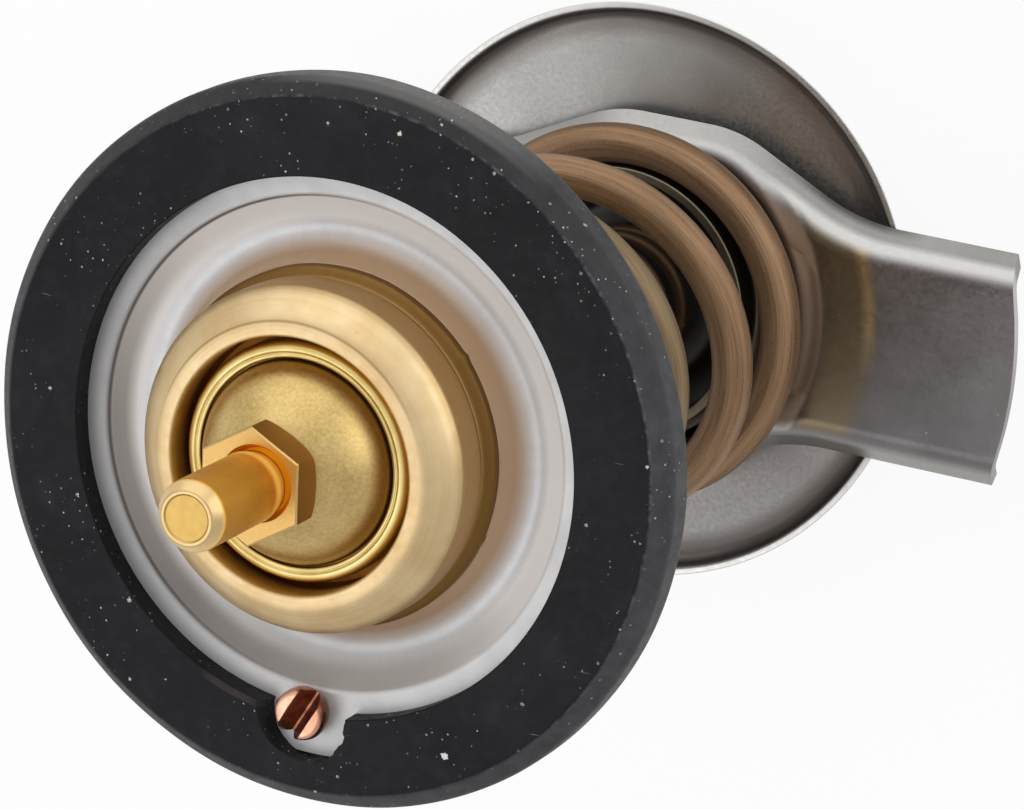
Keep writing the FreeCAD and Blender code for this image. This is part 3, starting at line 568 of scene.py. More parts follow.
def plate_finish():
    """Bright pressed plate with faint ticks; painted highlight and shade on its trough and rim, a painted
    gold-brown reflection round the collar and painted shade on its rear side.
    """
    made = Finish("plate_steel", Metallic=0.25)
    cloud = made.noise(0.2)
    spokes = made.noise(1.0, vector=made.spoke_place(26.0, 0.25))
    value = made.mixed(cloud, spokes, 0.6)
    made.base = made.tones(value, (0.36, (0.64, 0.652, 0.67)), (0.62, (0.71, 0.722, 0.74)))
    # Painted highlight: the plate outside the trough's middle is near white, less so towards the bottom.
    made.lay((0.93, 0.94, 0.95), made.ring(19.6, 20.4), made.lean(-0.2, -0.98, 0.9, 0.4), 0.9)
    # Painted shade: darker towards the bottom.
    made.lay((0.42, 0.415, 0.40), made.lean(0.1, -0.99, 0.6, 0.95, 0.0, 0.5))
    rim = made.ring(22.6, 22.8)
    made.lay(made.tones(cloud, (0.36, (0.60, 0.60, 0.60)), (0.62, (0.67, 0.67, 0.67))), rim)
    # Painted shade: the rim is darker on the left.
    made.lay((0.27, 0.265, 0.265), rim, made.lean(-0.97, -0.1, 0.1, 0.9), 0.75)
    # Painted gold-brown reflection of the collar round it.
    collar_reflection = made.ring(19.2, 17.4)
    made.lay((0.42, 0.225, 0.075), collar_reflection, 0.85)
    # Painted shade in the crease at the rim's inner edge, on the left.
    rim_crease_shade = made.both(made.band(22.62, 0.06, 0.12), made.lean(-0.85, 0.2, -0.2, 0.5))
    made.lay((0.04, 0.04, 0.042), rim_crease_shade, 0.85)
    shaded_wall = made.both(made.band(22.0, 0.35, 0.9), made.lean(-0.9, -0.43, 0.3, 0.95))
    made.lay((0.12, 0.12, 0.125), shaded_wall, 0.6)
    ticks = made.specks(2.2, 0.13, 0.12, 5.0, made.stretched(74.0, (0.12, 1.4, 0.5)))
    made.lay((0.35, 0.34, 0.33), ticks, 0.3)
    made.lay((0.3, 0.28, 0.26), made.specks(2.3, 0.10, 0.3), 0.3)
    # Painted shade on the rear side, so that it mirrors dark.
    rear = made.remap(made.facing, -0.05, -0.25)
    made.lay((0.12, 0.11, 0.10), rear, 0.85)
    made.rough(made.noise(0.9, 4.0), 0.36, 0.46)
    made.bump(made.noise(4.0), 0.003)
    return made.done()


def turned_brass(name, dark, light, low, high, marks=(1.0, 9.0), relief=0.003, dots=0.45):
    """Turned satin brass with fine rings, soft cloudy tone and a few brown dots."""
    made = Finish(name, Metallic=1.0)
    rings = made.noise(1.0, 4.0, vector=made.round_place(*marks))
    made.base = made.tones(made.mixed(rings, made.noise(0.22, 4.0), 0.3), (0.38, dark), (0.6, light))
    made.lay((0.34, 0.20, 0.06), made.specks(1.7, 0.09, 0.2), dots)
    made.rough(made.noise(1.3, 4.0), low, high)
    made.bump(rings, relief)
    return made


def collar_finish():
    """Cream-gold collar: a painted brown reflection on its side, painted shade at its foot and in a groove
    line at the top, and its mouth painted bright near the front and dark with shade deeper in.
    """
    dark, light = (0.67, 0.48, 0.245), (0.76, 0.585, 0.335)
    made = turned_brass("collar_brass", dark, light, 0.40, 0.50, (0.5, 5.0), 0.001)
    # Painted reflection: the side is a darker brown.
    side = made.both(made.ring(14.6, 15.6), made.rise(RIM + 6.2, RIM + 5.2))
    made.lay((0.44, 0.25, 0.08), side, 0.85)
    # Painted shade where the foot meets the plate.
    foot = made.both(made.ring(15.2, 15.6), made.rise(RIM + 1.5, RIM + 1.2))
    made.lay((0.17, 0.085, 0.022), foot, 0.9)
    # Painted shade: a dark groove line, on the upper part only.
    painted_groove_line = made.both(made.band(13.1, 0.05, 0.12), made.lean(-0.1, 0.99, 0.2, 0.7),
                           made.rise(RIM + 5.0, RIM + 5.5))
    made.lay((0.34, 0.20, 0.06), painted_groove_line, 0.6)
    # Painted light in the mouth: bright near the front, painted shade deeper in.
    bore = made.ring(12.0, 11.85)
    made.lay((0.95, 0.60, 0.17), bore, made.rise(RIM + 8.2, RIM + 7.4), 0.9)
    made.lay((0.24, 0.075, 0.005), bore, made.rise(RIM + 6.2, RIM + 5.2), 0.9)
    return made.done()


def dome_finish(front, near):
    """Stamped yellow brass with a sandy grain; painted brown shade at the dome's foot and on the hexagon's
    near sides, and a painted highlight in the countersink.
    """
    made = Finish("dome_brass", Metallic=1.0)
    grain = made.noise(3.2, 4.0, 0.7)
    value = made.mixed(grain, made.noise(0.3), 0.6)
    made.base = made.tones(value, (0.36, (0.48, 0.33, 0.11)), (0.62, (0.70, 0.52, 0.225)))
    made.lay((0.35, 0.22, 0.06), made.specks(0.8, 0.09, 0.3), 0.4)
    # Painted shade at the dome's foot.
    made.lay((0.22, 0.10, 0.015), made.ring(8.2, 9.2), 0.85)
    made.lay((0.63, 0.40, 0.14), made.rise(front - 0.14, front - 0.06))
    # Painted shade on the hexagon's near sides.
    painted_hexagon_shade = made.both(made.remap(made.facing, 0.35, 0.1), made.rise(front - 4.1, front - 3.9),
                             made.ring(4.2, 4.4), made.lean(*near, -0.25, 0.1))
    made.lay((0.36, 0.17, 0.03), painted_hexagon_shade, 0.9)
    # Painted highlight: the countersink is bright yellow.
    sink = made.both(made.ring(4.5, 4.4), made.rise(front - 0.04, front - 0.12),
                     made.rise(front - 1.3, front - 1.0))
    made.lay((1.0, 0.55, 0.03), sink)
    made.rough(grain, 0.34, 0.46)
    made.bump(grain, 0.016)
    return made.done()


def pin_finish(top, foot):
    """Smooth turned pin: orange-brown side, cream chamfer and a painted reflection band where it leaves the
    guide.
    """
    dark, light = (0.86, 0.45, 0.06), (0.92, 0.50, 0.085)
    made = turned_brass("pin_brass", dark, light, 0.32, 0.42, (0.6, 6.0), 0.002, 0.2)
    made.lay((0.70, 0.50, 0.24), made.rise(top - 1.05, top - 0.85))
    made.lay((0.54, 0.345, 0.095), made.ring(2.2, 2.1), made.rise(top - 0.4, top - 0.3), 0.9)
    # Painted reflection: a bright, less metallic band round the pin where it leaves the guide.
    glow = made.both(made.rise(foot + 1.3, foot + 0.6), made.rise(foot - 1.4, foot - 0.6), 0.9)
    made.lay((0.95, 0.62, 0.13), glow)
    feed(made.tree, made.shader.inputs["Metallic"], made.math("SUBTRACT", 1.0, made.both(glow, 0.75)))
    return made.done()


def copper_finish(top, head, half, slot_angle):
    """Pinkish copper head with dark tarnish in its slot and painted shade round its lower right edge."""
    made = turned_brass("vent_copper", (0.66, 0.30, 0.18), (0.90, 0.52, 0.37), 0.24, 0.42, (3.0, 3.0), 0.02)
    across_slot = (-sin(slot_angle), cos(slot_angle), 0)
    beside = made.math("ABSOLUTE", made.vector("DOT_PRODUCT", made.spot, across_slot))
    slot = made.both(made.rise(top - 0.02, top - 0.12), made.remap(beside, half + 0.1, half - 0.02),
                     made.ring(head - 0.02, head - 0.12))
    tarnish = made.tones(made.noise(0.8), (0.3, (0.16, 0.060, 0.035)), (0.7, (0.36, 0.150, 0.095)))
    made.lay(tarnish, slot)
    # Painted shade round the head's lower right edge.
    edge = made.both(made.ring(head - 0.35, head - 0.15), made.lean(0.8, -0.6, -0.2, 0.3))
    made.lay((0.12, 0.035, 0.018), edge, 0.85)
    return made.done()


def wire_finish(name, dark, light, shadow, front):
    """Drawn spring wire with lengthwise grooves, dark dots and painted bright glints; front is the tint of
    its front end.
    """
    made = Finish(name, Metallic=0.7)
    streak = 0.035
    wire = made.add("Attribute", attribute_name="wire_place").outputs["Vector"]
    lengthwise = made.vector("MULTIPLY", wire, (streak, 1.0, 1.0))
    bands = made.noise(4.2, 4.0, 0.6, lengthwise)
    value = made.mixed(bands, made.noise(0.7, 2.0, vector=lengthwise), 0.6)
    grain = made.noise(5.0, 4.0, 0.7, wire)
    made.base = made.tones(value, (0.28, shadow), (0.44, dark), (0.66, light))
    made.lay(light, made.remap(grain, 0.4, 0.7, 0.0, 0.5))
    made.lay((0.06, 0.035, 0.02), made.specks(1.1, 0.13, 0.3, vector=wire), 0.5)
    # Painted glints: small bright dots.
    made.lay((0.80, 0.62, 0.45), made.specks(0.8, 0.07, 0.3, 17.0, wire), 0.5)
    stops = [(place, tuple(weight * part for part in front)) for place, weight in ((0.3, 0.55), (0.62, 1.3))]
    made.lay(made.tones(value, *stops), made.rise(24.0, 30.0, 0.0, 0.75))
    made.rough(grain, 0.4, 0.55)
    made.bump(bands, 0.03)
    made.bump(grain, 0.008)
    return made.done()


def plain_finish(name, dark, light, roughness, metallic=0.0):
    """A quiet finish for the pieces inside: cloudy tone and a fine grain."""
    made = Finish(name, Metallic=metallic)
    cloud = made.noise(1.5, 4.0)
    made.base = made.tones(cloud, (0.35, dark), (0.65, light))
    made.rough(cloud, roughness - 0.06, roughness + 0.06)
    made.bump(cloud, 0.01)
    return made.done()


# Pieces of the main valve

def seal_outline():
    """Rubber ring round the plate's rim: sloping front, wide bevel and a rounded back."""
    outer = reach_of("seal_ring")
    back, front = ends_of("seal_ring")
    plate = reach_of("valve_disc")
    inner, bevel, side, back_bevel, front_drop, sheet = 24.7, 1.55, 2.95, 1.3, 0.42, 1.0
    edge = front - front_drop
    return softened([
        (inner, front, 0.25),
        (inner, RIM, 0.02),
        (plate, RIM, 0.02),
        (plate, RIM - sheet, 0.02),
        (inner, RIM - sheet, 0.02),
        (inner, back, 0.3),
        (outer - back_bevel, back, 0.5),
        (outer, edge - bevel - side, 0.5),
        (outer, edge - bevel, 0.5),
        (outer - bevel, edge, 0.45),
    ])


def notch_cutter():
    """The notch round the vent pin: round on its left, torn into corners on its right."""
    circle, radius, side_step = 25.2, 4.05, 0.55
    left_bevel, bevel_depth = 0.9, 0.9
    back, front = ends_of("seal_ring")
    past, count = 1.0, 72
    torn = {12: -0.25, 9: 0.3, 6: -0.1, 3: 0.25, 0: -0.05, -3: 0.3, -6: -0.15, -9: 0.1, -12: 0.3, -15: -0.1}

    def ring(height, bevel):
        points = []
        for k in range(count):
            angle = 2 * pi * k / count
            reach = radius + 0.03 * sin(9 * angle) + 0.02 * sin(23 * angle)
            step = (k + count // 2) % count - count // 2
            nearest = [key for key in torn if abs(key - step) <= 1]
            if nearest:
                reach += torn[nearest[0]] * 0.6
            leftness = max(0.0, -cos(angle + 0.5))
            reach += bevel * leftness ** 0.7
            points.append((side_step + reach * cos(angle), reach * sin(angle) - circle, height))
        return points

    return prism("notch_cutter", [
        ring(back - past, 0.0),
        ring(front - bevel_depth, 0.0),
        ring(front, left_bevel),
        ring(front + past, left_bevel * (1 + past / bevel_depth)),
    ])


def add_seal_ring():
    still_within = 29.5

    def wobble(angle, radius, height):
        if radius < still_within:
            return 0.0, 0.0
        return 0.03 * sin(5 * angle + 1) + 0.02 * sin(13 * angle) - 0.05, 0.02 * sin(7 * angle)

    ring = turned("rubber_ring", seal_outline(), BIG_TURN, wobble)
    combined(ring, notch_cutter(), "DIFFERENCE")
    stands_for(ring, "seal_ring", "valve", rubber_finish())


def add_valve_disc():
    plate = reach_of("valve_disc")
    sheet, mouth, land, middle, depth, edge = 1.0, 11.6, 16.9, 19.3, 2.8, 22.75
    vent_circle, vent_hole = 24.9, 1.45
    front = softened([
        (plate, RIM, 0.1), (edge, RIM, 0.35), (edge - 0.65, RIM - 0.95, 0.5), (21.0, RIM - 2.1, 0.8),
        (middle, RIM - depth, 1.2), (17.7, RIM - 2.2, 0.8), (land, RIM - 0.6, 0.5), (land - 0.3, RIM, 0.15),
        (mouth, RIM, 0.05),
    ], closed=False)
    back = softened([
        (mouth, RIM - sheet, 0.1), (land - 0.9, RIM - sheet, 0.4), (land - 0.3, RIM - sheet - 1.2, 0.5),
        (middle, RIM - depth - sheet + 0.02, 1.6), (edge - 1.4, RIM - sheet - 1.3, 0.8),
        (edge + 0.2, RIM - sheet, 0.5), (plate, RIM - sheet, 0.1),
    ], closed=False)
    disc = turned("valve_plate", front + back)
    ends = (RIM + 1, RIM - 3)
    hole = [(0, ends[0]), (0, ends[1]), (vent_hole, ends[1]), (vent_hole, ends[0])]
    hole_cutter = turned("hole_cutter", hole, 48)
    hole_cutter.location.y = -vent_circle * MM
    combined(disc, hole_cutter, "DIFFERENCE")
    stands_for(disc, "valve_disc", "valve", plate_finish())


def add_collar():
    """Brass collar: thin foot, straight side, full round front and a stepped lip at its mouth."""
    rear, top = ends_of("valve_collar")
    foot, radius, mouth, bore, neck = 16.55, 15.85, 11.7, 9.0, 11.6
    side = RIM + 6.0
    inner_step = RIM + 3.2
    cord = 0.8
    outline = softened([
        (mouth, top, 0.35), (mouth, inner_step, 0.05), (bore, inner_step, 0.05),
        (bore, RIM - cord * 0.9, 0.05),
        (bore + cord * 2, RIM - cord * 0.9, 0.05), (bore + cord * 2, RIM - cord * 2.9, 0.05),
        (bore, RIM - cord * 2.9, 0.05), (bore, rear, 0.1), (neck - 0.56, rear, 0.3),
        (neck + 0.7, RIM - 1.84, 0.3), (neck + 0.7, RIM - 1.0, 0.05), (neck, RIM - 1.0, 0.02),
        (neck, RIM, 0.02),
        (foot, RIM, 0.03), (foot, RIM + 0.75, 0.15), (foot - 0.35, RIM + 1.0, 0.15),
        (radius - 0.35, RIM + 1.35, 0.1),
        (radius - 0.35, RIM + 1.6, 0.15), (radius, RIM + 2.1, 0.25), (radius, side - 0.5, 0.3),
        (radius - 0.28, side - 0.05, 0.2), (radius - 0.62, side + 0.45, 0.3),
        (radius - 1.5, side + 1.35, 0.8),
        (mouth + 1.6, top - 0.12, 1.2),
    ])
    # Small burrs on the foot's edge: direction, size, width.
    burrs = ((radians(41), 0.16, 0.020), (radians(-19), 0.14, 0.018), (radians(150), 0.1, 0.03))

    def wobble(angle, reach, height):
        if not (foot - 0.8 < reach and height < RIM + 1.6):
            return 0.0, 0.0
        out = 0.02 * sin(11 * angle)
        for place, size, width in burrs:
            gap = remainder(angle - place, 2 * pi) / width
            out += size * exp(-gap * gap)
        return out, 0.0

    collar = turned("brass_collar", outline, BIG_TURN, wobble)
    stands_for(collar, "valve_collar", "valve", collar_finish())


def add_cup():
    """Drawn cup of the element with its front rim rolled over the guide."""
    foot, top = ends_of("element_cup")
    radius, wall, crimp, mouth = 9.0, 1.2, 11.0, 9.5
    base = RIM + 3.2
    floor, floor_wall = RIM - 38.0, 1.6
    socket, stem = 5.2, 3.3
    outline = softened([
        (0, floor + floor_wall), (0, floor - 0.5), (stem, floor - 0.5, 0.1), (stem, foot, 0.2),
        (socket, foot, 0.25),
        (socket, floor, 0.2), (radius - 0.9, floor, 0.5), (radius, floor + 1.2, 0.9), (radius, base, 0.1),
        (crimp - 0.4, base, 0.2), (crimp, base + 0.5, 0.3), (crimp, top - 0.75, 0.5),
        (crimp - 0.35, top - 0.1, 0.3),
        (crimp - 0.8, top, 0.25), (mouth + 0.55, top - 0.05, 0.2), (mouth + 0.42, top - 0.14, 0.06),
        (mouth + 0.3, top - 0.05, 0.06), (mouth, top - 0.12, 0.14), (mouth, top - 0.95, 0.1),
        (crimp - 0.9, top - 0.95, 0.1), (crimp - 0.9, base + 0.9, 0.1), (radius - wall, base + 0.9, 0.2),
        (radius - wall, floor + floor_wall, 0.3),
    ])
    cup = turned("element_cup_skin", outline)
    finish = turned_brass("cup_brass", (0.70, 0.54, 0.20), (0.86, 0.70, 0.31), 0.3, 0.4).done()
    stands_for(cup, "element_cup", "valve", finish)


def hexagon_ring(corner, turn, height):
    angles = [radians(turn + 60 * k) for k in range(6)]
    return [(corner * cos(a), corner * sin(a), height) for a in angles]


def add_guide():
    """Dome with a hexagon on top; the guide's bore opens in a countersink."""
    foot, top = ends_of("guide_dome")
    dome, centre, flange, mouth = 10.0, RIM + 3.0, 10.1, 9.35
    flange_top = RIM + 6.0
    across, turn = 9.4, 33.0
    bore = 3.05
    sink_reach, sink_depth, sink_step = 3.5, 0.95, 0.75
    near = (0.8, 0.6)
    start = degrees(acos(mouth / dome))
    cap = arc((0, centre), dome, start, 90.0, 24)
    rim = [(0, foot), (flange, foot, 0.1), (flange, flange_top, 0.1), (mouth, flange_top, 0.05)]
    body = softened(rim) + cap[:-1] + [(0, cap[-1][1])]
    guide = turned("pin_guide", body)
    corner = across / sqrt(3)
    chamfer = 0.16
    low = centre + sqrt(dome * dome - corner * corner) - 1.2
    prism_rings = [hexagon_ring(corner, turn, low), hexagon_ring(corner, turn, top - chamfer),
                   hexagon_ring(corner - chamfer, turn, top)]
    hexagon = prism("hexagon", prism_rings)
    foot_limit = turned("foot_limit", [
        (0, top + 1), (0, low - 1), (corner - 1.5, low - 1), (corner - 0.75, top - 3.6),
        (corner - 0.25, top - 3.2),
        (corner + 0.1, top - 2.7), (corner + 0.1, top + 1),
    ], FINE_TURN)
    combined(hexagon, foot_limit, "INTERSECT")
    combined(guide, hexagon, "UNION")
    inside = [(0, top + 1), (0, foot - 1), (bore, foot - 1), (bore, top + 1)]
    combined(guide, turned("bore_cutter", inside, FINE_TURN), "DIFFERENCE", 25.0)
    sink = turned("sink_cutter", [
        (0, top + 1), (0, top - sink_depth), (sink_reach - 0.5, top - sink_depth), (sink_reach, top - 0.1),
        (sink_reach + 0.1, top + 1),
    ], FINE_TURN)
    sink.location = (near[0] * sink_step * MM, near[1] * sink_step * MM, 0)
    bpy.context.view_layer.update()
    combined(guide, sink, "DIFFERENCE", 25.0)
    broken_edges(guide, 0.07, 35)
    stands_for(guide, "guide_dome", "valve", dome_finish(top, near))


def add_pin():
    foot, top = ends_of("piston_pin")
    radius, shank = reach_of("piston_pin"), 3.0
    step = RIM + 15.7
    outline = softened([
        (0, top - 0.14), (0, foot), (1.5, foot, 0.3), (shank, foot + 5.0, 0.8), (shank, step, 0.02),
        (radius, step, 0.1), (radius, top - 1.0, 0.3), (radius - 0.72, top - 0.06, 0.3),
        (radius - 0.88, top, 0.1), (radius - 1.1, top, 0.08), (radius - 1.2, top - 0.14, 0.12),
    ])
    pin = turned("piston_pin_skin", outline, SMALL_TURN)
    stands_for(pin, "piston_pin", "pin", pin_finish(top, step))


def add_vent_pin():
    """Copper pin with a hammered head that is split by a wide V slot."""
    foot, top = ends_of("vent_pin")
    circle, shaft, head, tail = 24.9, 1.4, 2.5, 1.95
    under = RIM + 0.1
    tail_top = foot + 1.0
    outline = softened([
        (0, top), (0, foot), (shaft * 1.2, foot, 0.2), (tail, foot + 0.6, 0.25), (tail, tail_top, 0.15),
        (shaft, tail_top, 0.05), (shaft, under, 0.05), (head * 0.8, under, 0.25), (head, under + 0.85, 0.5),
        (head, top - 0.55, 0.3), (head * 0.86, top, 0.3),
    ])

    def wobble(angle, reach, height):
        if reach < 0.5 * head or height < under:
            return 0.0, 0.0
        return 0.06 * sin(2 * angle + 0.6) + 0.035 * sin(5 * angle), 0.03 * sin(3 * angle)

    pin = turned("copper_vent_pin", outline, FINE_TURN, wobble)
    slot_angle, half, depth, length = radians(62.0), 1.2, 1.75, 3.5
    bottom_half, mouth, past = 0.1, top + 0.03, top + 1.05
    right = [(bottom_half, top - depth), (half, mouth), (half * 1.6, past)]
    corners = [(-across, height) for across, height in right[::-1]] + right
    rings = [[(end, across, height) for across, height in corners] for end in (-length, length)]
    cutter = prism("slot_cutter", rings)
    cutter.rotation_euler.z = slot_angle
    bpy.context.view_layer.update()
    combined(pin, cutter, "DIFFERENCE", 30.0)
    broken_edges(pin, 0.08, 35)
    pin.location.y = -circle * MM
    stands_for(pin, "vent_pin", "vent", copper_finish(top, head, half, slot_angle))


# Springs

def coil_points(rear_radius, front_radius, rear, front, turns, blend_turns, start, shift, steps):
    """Centreline of a coil with closed end turns; radius and sideways shift change over its first turns."""
    closed, ease, bend = 0.59, 0.05, 1 / 16

    def climbed(at):
        share = min(max((at - closed) / (turns - 2 * closed), 0.0), 1.0)
        return share + ease * sin(2 * pi * share)

    points = []
    count = round(turns * steps)
    for i in range(count + 1):
        at = turns * i / count
        risen = (climbed(at - bend) + 2 * climbed(at) + climbed(at + bend)) / 4
        blended = eased((at - closed) / blend_turns)
        radius = rear_radius + (front_radius - rear_radius) * blended
        angle = radians(start) + 2 * pi * at
        around = Vector((radius * cos(angle), radius * sin(angle), rear + (front - rear) * risen))
        points.append(around + shift * (1 - blended))
    return points


def add_wire(name, points, wire_radius, around):
    """Round wire along the points. It keeps each point's place along and round the wire for its finish."""
    vertices, places, length = [], [], 0.0
    for i, here in enumerate(points):
        before = points[max(i - 1, 0)]
        after = points[min(i + 1, len(points) - 1)]
        length += (here - before).length
        tangent = (after - before).normalized()
        outward = Vector((here.x, here.y, 0.0))
        outward = (outward - tangent * outward.dot(tangent)).normalized()
        upward = tangent.cross(outward)
        for k in range(around):
            angle = 2 * pi * k / around
            vertices.append(here + (outward * cos(angle) + upward * sin(angle)) * wire_radius)
            places.append((length, wire_radius * cos(angle), wire_radius * sin(angle)))
    wire = add_object(name, vertices, skin_faces(len(points), around), 60.0)
    attribute = wire.data.attributes.new("wire_place", "FLOAT_VECTOR", "POINT")
    attribute.data.foreach_set("vector", [value for place in places for value in place])
    return wire


def add_main_spring():
    wire = 1.95
    seat, front = ends_of("main_spring")
    shift = Vector((0.38, -1.22, 0))
    points = coil_points(rear_radius=17.04, front_radius=14.65, rear=seat + wire, front=front - wire,
                         turns=5.25, blend_turns=4.9, start=285.0, shift=shift, steps=96)
    spring = add_wire("main_spring_wire", points, wire, around=32)
    finish = wire_finish("spring_bronze", (0.21, 0.122, 0.064), (0.36, 0.225, 0.125), (0.09, 0.048, 0.024),
                         (0.17, 0.125, 0.065))
    stands_for(spring, "main_spring", "bridge", finish)
    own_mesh(spring)


def add_bypass_spring():
    wire = 0.65
    rear, front = ends_of("bypass_spring")
    points = coil_points(rear_radius=6.6, front_radius=7.4, rear=rear + wire, front=front - wire,
                         turns=7.5, blend_turns=3.75, start=40.0, shift=Vector((0, 0, 0)), steps=64)
    spring = add_wire("bypass_spring_wire", points, wire, around=20)
    # Painted shade: the bypass spring gets very dark tones, as it sits in shade inside the main spring.
    finish = wire_finish("spring_olive", (0.040, 0.022, 0.010), (0.065, 0.035, 0.014), (0.02, 0.012, 0.006),
                         (0.05, 0.03, 0.012))
    stands_for(spring, "bypass_spring", "valve", finish)
    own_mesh(spring)


# Rear group

def add_bypass_disc():
    """Pressed bypass disc: flat pan, rolled lip and a boss round the stem."""
    outer = reach_of("bypass_disc")
    boss_top = ends_of("bypass_disc")[1]
    sheet, lip, slope, boss, foot, bore = 0.8, 2.6, 1.6, 9.2, 12.2, 3.35
    outline = softened([
        (bore, boss_top, 0.1), (bore, boss_top - sheet, 0.1), (boss - 0.4, boss_top - sheet, 1.0),
        (foot, 0, 1.2),
        (outer - slope - 1.1, 0, 1.2), (outer - 0.75, 1.05, 1.0), (outer, lip, 0.2),
        (outer - 0.72, lip, 0.2),
        (outer - 1.5, 1.35, 0.8), (outer - slope - 1.7, sheet, 1.1), (foot + 0.4, sheet, 1.2),
        (boss, boss_top, 1.0),
    ])

    def wobble(angle, radius, height):
        if radius < outer - 2:
            return 0.0, 0.0
        return -0.04 - 0.04 * sin(6 * angle), 0.02 * sin(9 * angle) - 0.02

    disc = turned("bypass_disc_skin", outline, BIG_TURN, wobble)
    stands_for(disc, "bypass_disc", "bypass", disc_finish())


WING_HALF = 11.6
MIDDLE_HALF = 18.2
FLANK_ANGLE = radians(26.0)
NEAR_FLANK = 22.8
FAR_FLANK = 17.4
HOLLOW = 18.0
SHOULDER = 13.0
TIP = 40.8
WALL_RUN = 2.15


def half_plan(flank, steps=14):
    """Half of one side's edge of the bridge, from the middle out to the wing, as (along, half width)."""
    corner_x = flank - (MIDDLE_HALF - WING_HALF) / tan(FLANK_ANGLE)
    bend = tan(FLANK_ANGLE / 2)
    run = SHOULDER * bend
    points = [(corner_x - run, MIDDLE_HALF)]
    for k in range(1, steps + 1):
        turn = FLANK_ANGLE * k / steps
        points.append((corner_x - run + SHOULDER * sin(turn), MIDDLE_HALF - SHOULDER * (1 - cos(turn))))
    start = flank + HOLLOW * bend
    for k in range(steps, -1, -1):
        turn = FLANK_ANGLE * k / steps
        points.append((start - HOLLOW * sin(turn), WING_HALF + HOLLOW * (1 - cos(turn))))
    return points


def spread(points, spacing):
    """The same way with points no further apart than the spacing."""
    made = [Vector(points[0])]
    for here in points[1:]:
        before, here = made[-1], Vector(here)
        count = max(1, ceil((here - before).length / spacing))
        made += [before.lerp(here, k / count) for k in range(1, count + 1)]
    return made


def tip_reach(y):
    """How far out the round end of a wing lies, beside its middle by y."""
    return sqrt(TIP * TIP - y * y)


def bridge_columns():
    """Stations along the bridge's two long sides: (edge point, inward direction) in order of angle."""
    tip_x = tip_reach(WING_HALF)
    side = [(tip_x, WING_HALF)] + half_plan(NEAR_FLANK)[::-1]
    side += [(-x, y) for x, y in half_plan(FAR_FLANK)] + [(-tip_x, WING_HALF)]
    side = spread(side, 0.9)
    upper = []
    for i, here in enumerate(side):
        way = (side[min(i + 1, len(side) - 1)] - side[max(i - 1, 0)]).normalized()
        upper.append((here, Vector((-way.y, way.x))))
    lower = [(-here, -inward) for here, inward in upper]
    return upper, lower


